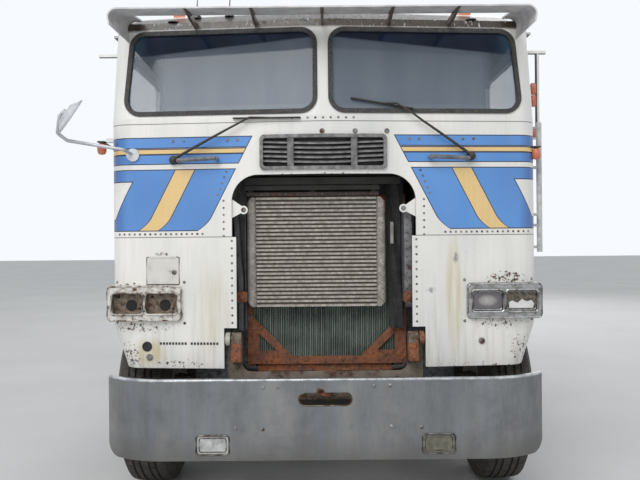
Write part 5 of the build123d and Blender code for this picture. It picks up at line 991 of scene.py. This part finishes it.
def face_fasteners():
    """Hexagon bolts above the louvre and on the ears, and the small screws of the cab's face."""
    bolts = Piece("face_bolts")
    tips = Piece("ear_tips")
    for pixel in LOUVRE_BOLT_PIXELS + EAR_BOLT_PIXELS:
        place, out = on_front(*seen(pixel, UPPER_FACE_DEPTH))
        if pixel in EAR_BOLT_PIXELS:
            tips.turned(place, out, [(0, -0.004), (0.022, -0.004), (0.022, 0.0015), (0, 0.0015)])
        bolts.bolt(place, out, 0.0085)
    tips.done(material_of("front_panel"), "cab")
    screws = [(x, 1.978) for x in (0.452, 0.504, 0.738, 0.796)]
    screws += [(x, z) for x in (0.74, 1.11) for z in (1.016, 1.232)]
    for side in (-1, 1):
        for x, z in screws:
            bolts.dome(*on_front(side * x, z), *SCREW, 10)
    for x, z in ((-0.93, 0.835), (0.83, 0.909)):
        bolts.turned(*on_front(x, z), [(0.017, -0.001), (0.017, 0.006), (0.009, 0.008), (0, 0.008)], 16)
    bolts.done(worn_metal("bolt_metal", (150, 148, 146), (92, 86, 80), 0.4, 0.7, rust=0.12), "cab")


def service_flap():
    """The hinged flap low on the passenger's side, with its lock, and the slotted strips under it."""
    flap = Piece("service_flap")
    paint = painted("flap_paint", (228, 226, 220), (214, 211, 203), 0.45, dust=0.2)
    flap.plate((-0.940, 1.222), (-0.768, 1.364), 0.0035)
    flap.plate((-0.930, 1.360), (-0.778, 1.372), 0.007)
    flap.done(paint, "cab")
    seam = Piece("flap_seam")
    seam.loop(-0.854, 1.293, 0.176, 0.146, 0.006, 0.0022, FRONT_SKINS)
    seam.done(rubber("seam_shadow", 70, 0.2), "cab")
    strips = Piece("slotted_strips")
    slots, half_slot, low_z, high_z = 9, 0.0062, 0.901, 0.915
    for low, high in ((-0.878, -0.728), (-0.712, -0.558)):
        for slot in range(slots):
            x = low + (high - low) * (slot + 0.5) / slots
            strips.plate((x - half_slot, low_z), (x + half_slot, high_z), 0.003, 2, 2)
    strips.done(rubber("slot_shadow", 40, 0.1), "cab")
    lock = Piece("flap_lock")
    profile = [(0.013, 0.002), (0.013, 0.007), (0.010, 0.009), (0.004, 0.009), (0.004, 0.006), (0, 0.006)]
    lock.turned(*on_front(*seen(FLAP_LOCK_PIXEL, LOWER_FACE_DEPTH)), profile, 20)
    lock.done(worn_metal("lock_metal", (120, 116, 110), (60, 56, 52), rust=0.08), "cab")
    socket = Piece("empty_socket")
    profile = [(0.027, -0.001), (0.026, 0.004), (0.021, 0.005), (0.019, 0.001), (0.012, 0.0005), (0, 0.0005)]
    socket.turned(*on_front(*seen(SOCKET_PIXEL, LOWER_FACE_DEPTH)), profile)
    socket.done(rubber("socket_rubber", 26, 0.1), "cab")


def wipers():
    """The two wipers: pivot, arm, and a blade held by a bridge."""
    steel = painted("wiper_paint", (30, 30, 32), (52, 50, 48), 0.5, dust=0.25)
    skins = ("cab_glass", "windshield_seals", "front_panel")
    hub = [(0.024, -0.002), (0.024, 0.012), (0.015, 0.018), (0.015, 0.034), (0.008, 0.038), (0, 0.038)]
    steps = 6
    arm_lift, arm_bow, blade_lift, bridge_lift = 0.026, 0.012, 0.006, 0.017
    for name, pivot, hand, blade in (
            ("wiper_right", (-0.789, 1.877), (-0.379, 2.092), ((-0.470, 2.090), (-0.119, 2.087))),
            ("wiper_left", (0.779, 1.887), (0.384, 2.158), ((0.145, 2.189), (0.472, 2.132)))):
        piece = Piece(name)
        piece.turned(*on_front(*pivot, skins), hub, 20)
        arm = []
        for step in range(steps + 1):
            place, out = on_front(*Vector(pivot).lerp(Vector(hand), step / steps), skins)
            arm.append(place + out * (arm_lift + arm_bow * math.sin(math.pi * step / steps)))
        piece.tube(arm, 0.0085, 8, end_radius=0.005)
        edge, bridge = [], []
        for x, z in between(*blade, 0.04):
            place, out = on_front(x, z, skins)
            edge.append(place + out * blade_lift)
            bridge.append(place + out * bridge_lift)
        middle = len(edge) // 2
        piece.tube(edge, 0.0035, 6)
        piece.tube(bridge, 0.0045, 6)
        for index in (1, middle, len(edge) - 2):
            piece.tube([edge[index], bridge[index]], 0.004, 6)
        piece.tube([bridge[middle], arm[-1]], 0.005, 6)
        piece.done(steel, "cab")


def headlamp_details():
    """Chrome frames round the pockets, tan lamp buckets, the sound lamp's rim and the broken one's shell."""
    chrome = worn_metal("trim_chrome", (196, 196, 196), (128, 124, 118), 0.22, rust=0.05, scale=45.0)
    white_metal = worn_metal("corroded_trim", (206, 203, 196), (110, 96, 80), 0.5, 0.3, rust=0.13, scale=36.0)
    for side, word, metal in ((1, "left", chrome), (-1, "right", white_metal)):
        frames = Piece("pocket_frames_" + word)
        for x in LAMP_X:
            frames.loop(side * x, BEZEL_Z, *POCKET_SIZE, 0.014, 0.006, ("headlamp_bezels",))
        frames.loop(side * BEZEL_X, BEZEL_Z, *BEZEL_SIZE, 0.022, 0.005, ("headlamp_bezels",))
        frames.done(metal, "cab")
    buckets = Piece("lamp_buckets")
    holes = Piece("bucket_holes")
    hole = [(0.030, 0), (0.030, 0.002), (0.022, 0.0035), (0.021, 0.001), (0, 0.001)]
    bottom, depth, wall = 0.198, 0.040, 0.003
    for side in (-1, 1):
        for x in LAMP_X:
            buckets.bucket(at(side * x, bottom, BEZEL_Z), *BUCKET_SIZE, depth, wall)
    for x in LAMP_X:
        holes.turned(at(-x + 0.012, bottom - 0.0012, BEZEL_Z - 0.012), FORWARD, hole, 20)
        for across, up in ((-0.055, 0.032), (0.055, -0.030)):
            holes.dome(at(-x + across, bottom - 0.0005, BEZEL_Z + up), FORWARD, 0.007, 0.006)
    buckets.done(painted("bucket_paint", (152, 140, 126), (110, 92, 74), 0.7, rust=0.12, scale=40.0), "cab")
    holes.done(rubber("bucket_black", 20, 0.1), "cab")
    rims = Piece("lamp_rims")
    for x in LAMP_X:
        rims.loop(x, BEZEL_Z, *LAMP_SIZE, 0.012, 0.004, ("headlamps",))
    rims.done(chrome, "cab")
    shell = Piece("broken_lens")
    place, _ = on_front(LAMP_X[1], BEZEL_Z, ("headlamps",))
    jagged = ((-0.066, -0.040), (-0.066, -0.010), (-0.048, 0.000), (-0.022, -0.013), (0.002, 0.006),
              (0.030, -0.006), (0.052, 0.002), (0.066, -0.018), (0.060, -0.040))
    shell.prism([shell.ring([place + Vector((x, lift, z)) for x, z in jagged]) for lift in (0.002, -0.004)])
    shell.done(painted("lamp_shell", (232, 232, 230), (208, 206, 200), 0.3, dust=0.1), "cab", smooth=0)


def cab_lamps():
    """Amber side lamps on short brackets, the whip aerials and the marker lamps' chrome bases."""
    amber = lamp_lens("side_lamp_amber", (220, 104, 52))
    lenses = Piece("side_lamps")
    stems = Piece("lamp_brackets")
    dome = [(0, 0), (0.017, 0.004), (0.024, 0.018), (0.025, 0.038), (0.020, 0.058), (0, 0.066)]
    for side, z, reach in ((-1, 1.949, 0.062), (1, 1.905, 0.018)):
        place, out = on_side(NOSE_Y + 0.255, z, side)
        middle = place + out * reach
        lenses.turned(middle - UP * 0.034, UP, dome, 20)
        low, high = Vector((-0.020, -0.020, 0.031)), Vector((0.020, 0.020, 0.040))
        stems.box(middle + low, middle + high, 0.002)
        stems.tube([place - out * 0.002, middle + UP * 0.036], 0.008, 8)
    lenses.done(amber, "cab")
    socket = [(0.026, -0.002), (0.026, 0.008), (0.012, 0.022), (0.007, 0.05), (0, 0.05)]
    for x in AERIALS_X:
        foot, _ = surface(("roof", "visor"), at(x, 0.330, ABOVE_ROOF_Z), -UP)
        stems.turned(foot, UP, socket, 16)
        whip = [foot + Vector(point) for point in ((0, 0, 0.03), (0.004, 0.02, 0.2), (0.01, 0.06, 0.38))]
        stems.tube(whip, 0.0035, 6, end_radius=0.0018)
    for x in (-0.8, 0.8):
        top, _ = surface(("roof",), (x, CAB_FACE_Y + 0.13, ABOVE_ROOF_Z), -UP)
        stems.turned(top, UP, [(0.030, -0.002), (0.030, 0.003), (0, 0.003)], 20)
    stems.done(worn_metal("bracket_metal", (120, 118, 116), (70, 66, 62), 0.4, rust=0.08), "cab")
    cluster = Piece("mirror_post_lamps")
    for z, tall in ((2.24, 0.070), (2.31, 0.070), (2.05, 0.056)):
        profile = [(0, 0), (0.014, 0.003), (0.018, 0.012), (0.018, tall - 0.012), (0.014, tall - 0.003),
                   (0, tall)]
        cluster.turned(at(*MIRROR_POST, z - tall / 2), UP, profile, 16)
    cluster.done(amber, "door_left")


# Pieces in the grille opening

def upper_baffles():
    """The cross bars above the cooler, on three short hangers."""
    bars = Piece("upper_baffles")
    left_x = -0.435
    bars.box(at(left_x, 0.290, 1.722), at(0.305, 0.312, 1.748), 0.003)
    bars.box(at(left_x, 0.296, 1.752), at(0.420, 0.304, 1.792), 0.002)
    for x in HANGERS_X:
        bars.box(at(x - 0.015, 0.304, 1.640), at(x + 0.015, 0.376, 1.760), 0.002)
    bars.box(at(-0.425, 0.388, 1.696), at(0.448, 0.394, 1.800), 0.002)
    bars.done(painted("baffle_paint", (62, 62, 62), (44, 43, 42), 0.6, dust=0.35, rust=0.03), "chassis")


def side_channel():
    """The bent upright channel on the passenger's side of the opening."""
    bars = Piece("side_channel")
    bars.box(at(-0.487, 0.338, OPENING_LOW_Z), at(-0.424, 0.346, OPENING_TOP_Z), 0.002)
    bars.box(at(-0.434, 0.300, OPENING_LOW_Z), at(-0.426, 0.346, 1.600), 0.002)
    bends = ((-0.482, OPENING_TOP_Z), (-0.482, 1.640), (-0.470, 1.500), (-0.462, 1.330), (-0.452, 1.240),
             (-0.452, 0.965))
    rings = []
    for x, z in bends:
        section = ((x - 0.012, 0.250), (x + 0.012, 0.250), (x + 0.014, 0.342), (x - 0.014, 0.342))
        rings.append(bars.ring([at(across, back, z) for across, back in section]))
    bars.prism(rings)
    for z in (1.02, 1.50):
        bars.box(at(-0.430, 0.340, z - 0.015), at(-0.415, 0.384, z + 0.015), 0.002)
    bars.done(painted("side_channel_paint", (92, 92, 96), (66, 65, 66), 0.55, dust=0.4, rust=0.04), "chassis")


def hole_strip():
    """The rusty strip in front of the baffles, and the rivets along it and along the riveted channel."""
    strip = Piece("hole_strip")
    rear = STRIP_FRONT + 0.006
    strip.box(at(-0.420, STRIP_FRONT, STRIP_TOP_Z - 0.021), at(0.300, rear, STRIP_TOP_Z), 0.001)
    for x in HANGERS_X:
        strip.box(at(x - 0.012, rear - 0.002, STRIP_TOP_Z - 0.015),
                  at(x + 0.012, rear + 0.016, STRIP_TOP_Z - 0.004), 0.001)
    strip.done(painted("strip_rust", (92, 76, 72), (58, 50, 50), 0.7, dust=0.2, rust=0.12), "chassis")
    beads = Piece("strip_rivets")
    z = STRIP_TOP_Z - 0.0105
    for point in between(at(-0.405, STRIP_FRONT, z), at(0.288, STRIP_FRONT, z), 0.033):
        beads.dome(point, FORWARD, *SMALL_RIVET)
    for z in levels(1.14, 1.57, 0.045):
        for x, shift in ((0.444, 0.0), (0.468, 0.02)):
            beads.dome(at(x, CHANNEL_FRONT, z + shift), FORWARD, 0.005, 0.003)
    beads.done(worn_metal("bead_metal", (120, 114, 108), (60, 54, 48), 0.4, 0.5, rust=0.1), "chassis")


def riveted_channel():
    """The grey folded channel on the driver's side of the opening: its web and two flanges."""
    channel = Piece("riveted_channel")
    left, right, low_z, high_z, sheet = 0.430, 0.482, 1.110, 1.600, 0.005
    behind = CHANNEL_FRONT + 0.002
    channel.box(at(left, CHANNEL_FRONT, low_z), at(right, CHANNEL_FRONT + sheet, high_z), 0.001)
    channel.box(at(left, behind, low_z), at(left + sheet, 0.372, high_z), 0.001)
    channel.box(at(right - sheet, behind, low_z), at(right, 0.300, high_z), 0.001)
    channel.done(worn_metal("channel_metal", (142, 142, 144), (98, 97, 98), 0.5, 0.4, rust=0.03), "chassis")


def rusty_clamps():
    """Clamps and brackets round the radiator, and the bolts of its frame."""
    clamps = Piece("rusty_clamps")
    clamps.box(at(-0.474, 0.236, 1.115), at(-0.418, 0.300, 1.172), 0.006)
    clamps.box(at(0.424, 0.205, 1.112), at(0.480, 0.240, 1.170), 0.006)
    clamp_z = 1.143
    clamps.bolt(at(-0.446, 0.236, clamp_z), FORWARD, 0.013)
    clamps.bolt(at(0.452, 0.205, clamp_z), FORWARD, 0.013)
    clamps.box(at(-0.440, 0.290, clamp_z - 0.013), at(-0.420, 0.384, clamp_z + 0.013), 0.003)
    frame_front = 0.370
    for z in levels(0.82, 1.62, 0.16):
        clamps.bolt(at(-0.410, frame_front, z), FORWARD, 0.009)
        clamps.bolt(at(0.434, frame_front, z - 0.03), FORWARD, 0.009)
    for x in (-0.30, -0.10, 0.10, 0.30):
        clamps.bolt(at(x, frame_front, 0.785), FORWARD, 0.008)
    for x in (-0.465, 0.465):
        clamps.box(at(x - 0.027, 0.128, 0.812), at(x + 0.027, 0.154, 0.908), 0.004)
        for z in (0.832, 0.886):
            clamps.bolt(at(x, 0.128, z), FORWARD, 0.009)
    clamps.done(material_of("radiator_frame"), "chassis")


def pivot_caps():
    """The round caps of the cab's tilt pivots."""
    profile = [(0, 0), (0.0352, 0.0), (0.0352, 0.022), (0.030, 0.026), (0.018, 0.028), (0, 0.028)]
    white = painted("cap_paint", (214, 212, 206), (168, 160, 148), 0.5, rust=0.05)
    for side, word, metal in ((-1, "right", white), (1, "left", material_of("radiator_frame"))):
        cap = Piece("pivot_cap_" + word)
        cap.turned(at(side * PIVOT[0], *PIVOT[1:]), (side, 0, 0), profile, 28)
        cap.done(metal, "cab")


def rubber_baffle():
    """The wavy rubber sheet between the cooler and the driver's side, its back strip and its pale strap."""
    flap = Piece("rubber_baffle")
    columns, rows = 6, 24
    top_z = OPENING_TOP_Z + 0.010

    def sheet(lift):
        def place(across, down):
            z = top_z + (OPENING_LOW_Z - top_z) * down
            x = 0.338 + 0.020 * down + 0.074 * across + 0.004 * math.sin(z * 9)
            wave = 0.010 * math.sin(z * 11 + columns * across * 0.9) + 0.012 * math.sin(z * 4.2)
            return at(x, 0.345 + wave * min(1, columns * across / 2) - lift, z)
        return flap.grid(columns, rows, place)

    flap.slab(sheet(0.0), sheet(0.005))
    flap.box(at(0.396, 0.354, 0.965), at(0.437, 0.360, 1.790), 0.001)
    flap.done(rubber("baffle_rubber", 24, 0.12), "chassis")
    strap = Piece("baffle_strap")
    strap.box(at(0.364, 0.315, 1.425), at(0.382, 0.323, 1.545), 0.002)
    strap.tube([at(0.373, 0.321, 1.485), at(0.373, 0.345, 1.485)], 0.004, 6)
    strap.done(painted("strap_paint", (178, 174, 168), (130, 126, 120)), "chassis")


def hoses_and_wiring():
    """The two hoses that drop from the radiator, and the wires along the riveted channel."""
    hoses = Piece("lower_hoses")
    bends = ((0.33, 0.905), (0.325, 0.85), (0.315, 0.79), (0.310, 0.752), (0.33, 0.742))
    for places_x in ((-0.455, -0.462, -0.455, -0.425, -0.372), (0.470, 0.474, 0.462, 0.430, 0.372)):
        hoses.tube([at(x, back, z) for x, (back, z) in zip(places_x, bends)], 0.014, 12)
    hoses.done(rubber("hose_rubber", 34, 0.3), "chassis")
    wiring = Piece("wiring_run")
    for shift in (0.0, 0.006):
        run = ((0.470, 0.226, 1.59), (0.474, 0.222, 1.50), (0.469, 0.223, 1.40), (0.475, 0.222, 1.28),
               (0.470, 0.224, 1.16), (0.478 - shift, 0.26, 1.05))
        wiring.tube([at(x + shift, back, z) for x, back, z in run], 0.0032, 6)
    wiring.done(rubber("wire_cover", 30, 0.2), "chassis")


def louvre_dividers():
    """The two broad uprights over the louvre's slats."""
    bars = Piece("louvre_dividers")
    for x in (-0.171, 0.161):
        place, _ = on_front(x, 1.824, ("intake_louvre",))
        bars.box((x - 0.017, place.y + 0.004, 1.828), (x + 0.017, place.y + 0.014, 1.992), 0.002)
    bars.done(worn_metal("divider_metal", (128, 126, 124), (96, 94, 94), 0.5, 0.5), "cab")


# Pieces on the bumper

def bumper_trim():
    """The bumper's bright rolled edge and its round bolt heads."""
    edge = Piece("bumper_edge")
    half_width, path = 1.128, []
    for x, _ in between((-half_width, 0), (half_width, 0), 0.05):
        place, _ = on_front(x, BUMPER_TOP - 0.012, ("bumper",))
        path.append(Vector((place.x, place.y + 0.007, BUMPER_TOP - 0.002)))
    edge.tube(path, 0.009)
    edge.done(worn_metal("rolled_edge", (206, 208, 210), (150, 152, 154), 0.2, scale=18.0), "chassis")
    bolts = Piece("bumper_bolts")
    for pixel in BUMPER_BOLT_PIXELS:
        bolts.dome(*on_front(*seen(pixel, 0.0), ("bumper",)), 0.010, 0.005, 12)
    bolts.done(worn_metal("bumper_bolt_metal", (160, 160, 160), (90, 84, 76), rust=0.1), "chassis")


def tow_slot():
    """The rusty lip of the bumper's slot, broken where the notch opens it, and the tow loop behind."""
    lip = Piece("slot_lip")
    rim = [at(across, -0.0005, SLOT_Z + up) for across, up in round_rectangle(0.103, 0.0005, 0.032)]
    rim = [point for point in rim if not (-0.053 < point.x < 0.008 and point.z > 0.66)]
    start = max(range(len(rim)), key=lambda index: rim[index].x < 0.0 and rim[index].z > 0.66)
    lip.tube(rim[start:] + rim[:start], 0.0035, 6)
    lip.done(worn_metal("slot_metal", (120, 110, 98), (70, 56, 44), 0.5, rust=0.2), "chassis")
    hook = Piece("tow_loop")
    bends = ((0.030, 0.200, 0.660), (0.030, 0.060, 0.662), (0.020, 0.040, 0.664), (-0.015, 0.040, 0.664),
             (-0.025, 0.060, 0.662), (-0.025, 0.200, 0.660))
    hook.tube([at(*bend) for bend in bends], 0.011)
    hook.done(material_of("radiator_frame"), "chassis")


def driving_lamp_frames():
    """An outer and an inner frame round each of the bumper's lamps."""
    frames = Piece("driving_lamp_frames")
    for x in (-DRIVING_LAMP_X, DRIVING_LAMP_X):
        frames.loop(x, DRIVING_LAMP_Z, 0.166, 0.098, 0.016, 0.005, ("bumper", "driving_lamps"))
        frames.loop(x, DRIVING_LAMP_Z, 0.136, 0.070, 0.010, 0.003, ("driving_lamps",))
    frames.done(worn_metal("lamp_frame_metal", (126, 124, 120), (74, 70, 66), 0.4, rust=0.07), "chassis")


# Wheels

def tyre_profile():
    """(across, radius, is tread) round half a tyre's wall, from the tread's middle and back inside."""
    half = TYRE_WIDTH / 2
    tread = ((0.0, 0.0), (0.018, 0.0), (0.021, GROOVE), (0.028, GROOVE), (0.031, 0.0005), (0.054, 0.001),
             (0.057, GROOVE), (0.064, GROOVE), (0.067, 0.002), (0.090, 0.003), (0.108, 0.009), (0.118, 0.026))
    wall = ((0.126, TYRE_RADIUS - 0.042), (0.1325, 0.462), (0.1365, 0.456), (half, 0.430), (half, 0.395),
            (half - 0.002, 0.366), (half - 0.006, 0.344), (half - 0.002, 0.336), (half - 0.008, 0.326),
            (0.113, 0.310), (0.100, BEAD_RADIUS + 0.008), (0.098, BEAD_RADIUS), (0.080, BEAD_RADIUS + 0.012),
            (0.112, 0.350), (0.120, 0.420), (0.100, 0.495), (0.0, 0.505))
    return ([(across, TYRE_RADIUS - drop, True) for across, drop in tread]
            + [(across, radius, False) for across, radius in wall])


def treaded_tyre(piece, centre, lugged):
    """A hollow tyre. Drive tyres have their shoulders cut into staggered lugs, steer tyres have slits."""
    half = tyre_profile()
    section = [(-across, radius, tread) for across, radius, tread in half[:0:-1]] + half[:-1]
    cut_from, depth, gap = (0.034, 0.016, 0.30) if lugged else (0.088, 0.006, 0.12)
    rings = []
    for lug in range(LUGS):
        for share, cut in ((0.0, False), (1 - gap - 0.04, False), (1 - gap, True), (0.96, True)):
            ring = []
            for across, radius, tread in section:
                shift = 0.5 if lugged and across < 0 else 0.0
                angle = 2 * math.pi * (lug + share + shift) / LUGS
                if cut and tread and abs(across) > cut_from:
                    radius = min(radius, TYRE_RADIUS - depth)
                ring.append(centre + Vector((across, radius * math.cos(angle), radius * math.sin(angle))))
            rings.append(piece.ring(ring))
    piece.skin(rings + [rings[0]], closed=True)


def rim_places(rim, middle, side, count, turn, radius):
    """Points round the outer face of a rim, and its normals there. turn is a share of their spacing."""
    for index in range(count):
        angle = 2 * math.pi * (index + turn) / count
        start = (side * 3, middle.y + radius * math.cos(angle), middle.z + radius * math.sin(angle))
        yield surface((rim,), start, (-side, 0, 0))


def wheels():
    """Treaded tyres in place of the plain ones, and nuts, studs and hub bolts on the rims."""
    rubber_finish = tyre_rubber()
    nut_metal = worn_metal("nut_metal", (150, 146, 140), (84, 74, 64), 0.45, 0.7, rust=0.16, scale=60.0)
    stud = [(0.010, 0.0), (0.010, 0.036), (0.007, 0.039), (0, 0.039)]
    for name in [node for node in nodes if "_tyre" in node]:
        body = name.replace("tyre", "wheel")
        low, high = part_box(name)
        middle = (low + high) / 2
        spacing = (high.x - low.x - TYRE_WIDTH) / 2
        dual = spacing > 0.01
        piece = Piece(name.replace("tyre", "tread"))
        for shift in ((-spacing, spacing) if dual else (0.0,)):
            treaded_tyre(piece, middle + Vector((shift, 0, 0)), dual)
        piece.done(rubber_finish, body, smooth=28, stands_for=(name,))
        rim = name.replace("tyre", "rim")
        side = 1 if middle.x > 0 else -1
        nuts = Piece(name.replace("tyres", "nuts").replace("tyre", "nuts"))
        for place, out in rim_places(rim, middle, side, WHEEL_NUTS, 0.5, NUT_CIRCLE):
            nuts.bolt(place, out, 0.019, 0.022)
            nuts.turned(place, out, stud, 12)
        for place, out in rim_places(rim, middle, side, HUB_BOLTS, 0.0, HUB_CIRCLE):
            nuts.bolt(place, out, 0.0085, 0.008, washer=False)
        nuts.done(nut_metal, body)


# Seats and bunk

def cushion(name, centre, size, lean, channels, material):
    """A stuffed form: round edges, sides that pull in, a crowned face with sewn channels, and piping."""
    piece = Piece(name)
    turn = Matrix.Translation(centre) @ Matrix.Rotation(lean, 4, "X")
    crown, seam_depth, seam_width = 0.006, 0.010, 0.008

    def half_of(face):
        def place(across, along):
            u, v = math.sin((2 * across - 1) * math.pi / 2), math.sin((2 * along - 1) * math.pi / 2)
            pull = 1 - 0.035 * (1 - v * v) * abs(u) - 0.02 * (1 - u * u) * abs(v)
            edge = max(0.0, 1 - u ** 6) ** 0.4 * max(0.0, 1 - v ** 6) ** 0.4
            height = size[2] / 2 * (0.25 + 0.75 * edge)
            if face > 0:
                height += crown * (1 - u * u) * (1 - v * v)
            if face > 0 and edge > 0.5:
                for channel in channels:
                    near = (u - channel) * size[0] / 2
                    height -= seam_depth * math.exp(-(near / seam_width) ** 2)
            return turn @ Vector((u * size[0] / 2 * pull, v * size[1] / 2 * pull, face * height))
        return piece.grid(28, 20, place)

    piece.slab(half_of(1), half_of(-1))
    made = piece.done(material, "cab", smooth=60, stands_for=("seats",))
    piping = Piece(name + "_piping")
    rim = [turn @ Vector((x, y, size[2] / 2 * 0.86))
           for x, y in round_rectangle(size[0] / 2 - 0.05, size[1] / 2 - 0.05, 0.043, 3)]
    piping.tube(rim + [rim[0]], 0.005, 6)
    piping.done(vinyl("piping_vinyl", (50, 46, 44), (36, 34, 34)), "cab", stands_for=("seats",))


def seats():
    """Cloth cushions on the seats' pedestals, and the quilted bunk."""
    cloth = woven("seat_cloth", (98, 88, 82), (66, 62, 62))
    ticking = woven("bunk_cloth", (88, 96, 112), (62, 68, 82))
    base_paint = painted("seat_base_paint", (44, 44, 46), (58, 56, 56))
    seams = (-0.5, 0.5)
    lean = math.radians(85.5)
    for x, word in ((SEAT_X, "driver"), (-SEAT_X, "passenger")):
        under, behind = at(x, 1.310, SEAT_TOP_Z - 0.062), at(x, 1.544, SEAT_TOP_Z + 0.318)
        cushion(word + "_cushion", under, (0.480, 0.450, 0.112), 0.0, seams, cloth)
        cushion(word + "_backrest", behind, (0.440, 0.590, 0.100), lean, seams, cloth)
        base = Piece(word + "_seat_base")
        for half, front, rear, low, high, bevel in (
                (0.15, 1.140, 1.440, -0.36, -0.135, 0.008), (0.23, 1.092, 1.528, -0.139, -0.118, 0.006),
                (0.19, 1.505, 1.550, -0.139, 0.10, 0.006)):
            base.box(at(x - half, front, SEAT_TOP_Z + low), at(x + half, rear, SEAT_TOP_Z + high), bevel)
        base.done(base_paint, "cab", stands_for=("seats",))
    front, rear = NOSE_Y + 1.660, CAB_REAR_Y - 0.030
    cushion("bunk_mattress", Vector((0, (front + rear) / 2, 1.735)), (2.150, rear - front - 0.01, 0.132), 0.0,
            (-0.66, -0.33, 0.0, 0.33, 0.66), ticking)


# Sides and rear

def side_rivets():
    """Rivets round the sleeper's sides and up the rear wall."""
    rivets = Piece("side_rivets")
    front, rear, sill_z, eaves_z = SLEEPER_FRONT_Y, CAB_REAR_Y - 0.03, 1.11, 2.545
    rows = [((front, z), (rear, z), 0.05) for z in (sill_z, eaves_z)]
    rows += [((y, sill_z + 0.05), (y, eaves_z - 0.045), 0.06) for y in (front, rear)]
    for side in (-1, 1):
        for start, end, pitch in rows:
            for y, z in between(start, end, pitch):
                place, out = on_side(y, z, side)
                if place is not None and abs(place.x) > 1.08:
                    rivets.dome(place, out, *SMALL_RIVET)
    for x in (-0.63, -0.21, 0.21, 0.63):
        for z in levels(1.20, 2.44, 0.11):
            rivets.dome(*surface(("rear_wall",), (x, CAB_REAR_Y + 1.0, z), FORWARD), *SMALL_RIVET)
    rivets.done(worn_metal("side_rivet_metal", (206, 206, 204), (160, 156, 148), 0.4, 0.4), "cab")


def rail_bolts():
    """Bolts along the frame rails' webs, where nothing covers them."""
    bolts = Piece("rail_bolts")
    front, rear, pitch = -2.40, 2.95, 0.34
    for side in (-1, 1):
        for y, _ in between((front, 0), (rear, 0), pitch):
            for z in (0.80, 0.885, 0.97):
                place, out = surface(("frame_rails",), (side * 0.6, y, z), (-side, 0, 0))
                if place is not None and abs(place.x) > 0.42:
                    bolts.bolt(place, out, 0.011, 0.009)
    bolts.done(worn_metal("rail_bolt_metal", (70, 66, 62), (48, 42, 38), 0.5, 0.5, rust=0.14), "chassis")


def tank_caps():
    """A filler cap on top of each fuel tank."""
    caps = Piece("tank_caps")
    profile = [(0.050, -0.004), (0.050, 0.022), (0.058, 0.024), (0.058, 0.042), (0.050, 0.048), (0, 0.048)]
    for x in (-0.86, 0.86):
        caps.turned(*surface(("fuel_tanks",), (x, -0.60, 1.4), -UP), profile, 12)
    caps.done(worn_metal("cap_metal", (190, 190, 190), (130, 128, 124), 0.3, rust=0.03), "chassis")


def band(inner, outer, height):
    """The profile of a flat ring round a pipe."""
    return [(inner, 0), (outer, 0), (outer, height), (inner, height), (inner, 0)]


def stack_details():
    """The muffler's clamps, the pipe's clamps, and dark bars as painted shade in the slots of the heat guard.
    """
    clamps = Piece("muffler_clamps")
    for z in (1.34, 1.80, 2.20):
        clamps.turned(STACK + UP * z, UP, band(0.124, 0.129, 0.035), 40)
        clamps.bolt(STACK + Vector((0.129, 0, z + 0.0175)), (1, 0, 0), 0.011, 0.014)
    for z in (1.150, 2.365):
        clamps.turned(STACK + UP * z, UP, band(0.063, 0.069, 0.022), 32)
    clamps.done(worn_metal("clamp_metal", (140, 136, 132), (86, 80, 74), rust=0.1), "chassis")
    # Near-black bars in the heat guard's slots: painted shade where the slots open.
    slots = Piece("heat_guard_slots")
    guard_radius, half_slot, pitch, middle_clamp_z = 0.1245, 0.020, 0.083, 1.817
    for row in range(9):
        for column in range(7):
            angle = math.radians(40 + column * 16)
            z = 1.42 + pitch * (row + (0.5 if column % 2 else 0.0))
            if abs(z - middle_clamp_z) >= 2 * half_slot:
                middle = STACK + Vector((guard_radius * math.cos(angle), guard_radius * math.sin(angle), z))
                slots.tube([middle - UP * half_slot, middle + UP * half_slot], 0.0045, 6)
    slots.done(rubber("painted_slot_shade", 22, 0.05), "chassis")


def couplings():
    """The plate with the air and electric couplings behind the cab."""
    plate = Piece("coupling_plate")
    front = CAB_REAR_Y + 0.13
    rear = front + 0.012
    plate.box((-0.30, front, 1.02), (0.30, rear, 1.30), 0.004)
    for x in (-0.27, 0.27):
        plate.box((x - 0.03, front - 0.06, 1.005), (x + 0.03, rear, 1.030), 0.003)
    socket = [(0.040, 0), (0.040, 0.024), (0.030, 0.030), (0.030, 0.052), (0.020, 0.056), (0, 0.056)]
    for x in (-0.15, 0.0, 0.15):
        plate.turned((x, rear - 0.001, 1.20), -FORWARD, socket, 20)
    plate.done(worn_metal("coupling_metal", (150, 148, 144), (96, 92, 86), 0.4, rust=0.06), "chassis")


def rear_trim():
    """The mud flaps' bottom weights and the tail lamps' rims."""
    weights = Piece("flap_weights")
    half_width, front, rear, z = 0.295, 3.1375, 3.1405, 0.300
    for middle in (-0.908, 0.908):
        weights.box((middle - half_width, front, z - 0.025), (middle + half_width, rear, z + 0.025), 0.001)
        for x in (middle - half_width + 0.05, middle, middle + half_width - 0.05):
            weights.bolt((x, front + 0.0005, z), FORWARD, 0.008, 0.004, washer=False)
    weights.done(worn_metal("weight_metal", (190, 190, 190), (140, 138, 134), 0.25, rust=0.03), "chassis")
    rims = Piece("tail_lamp_rims")
    profile = [(0.052, -0.012), (0.055, -0.012), (0.055, 0.001), (0.048, 0.002), (0.048, -0.002),
               (0.052, -0.012)]
    for x in (-0.345, -0.230, 0.230, 0.345):
        rims.turned(*surface(("tail_lamps",), (x, 4.0, 0.940), FORWARD), profile, 28)
    rims.done(rubber("grommet_rubber", 30, 0.1), "chassis")


for make in (set_camera, set_light, lay_floor, dress_nodes, rivet_rows, face_fasteners, service_flap, wipers,
             headlamp_details, cab_lamps, upper_baffles, side_channel, hole_strip, riveted_channel,
             rusty_clamps, pivot_caps, rubber_baffle, hoses_and_wiring, louvre_dividers, bumper_trim, tow_slot,
             driving_lamp_frames, wheels, seats, side_rivets, rail_bolts, tank_caps, stack_details, couplings,
             rear_trim):
    make()
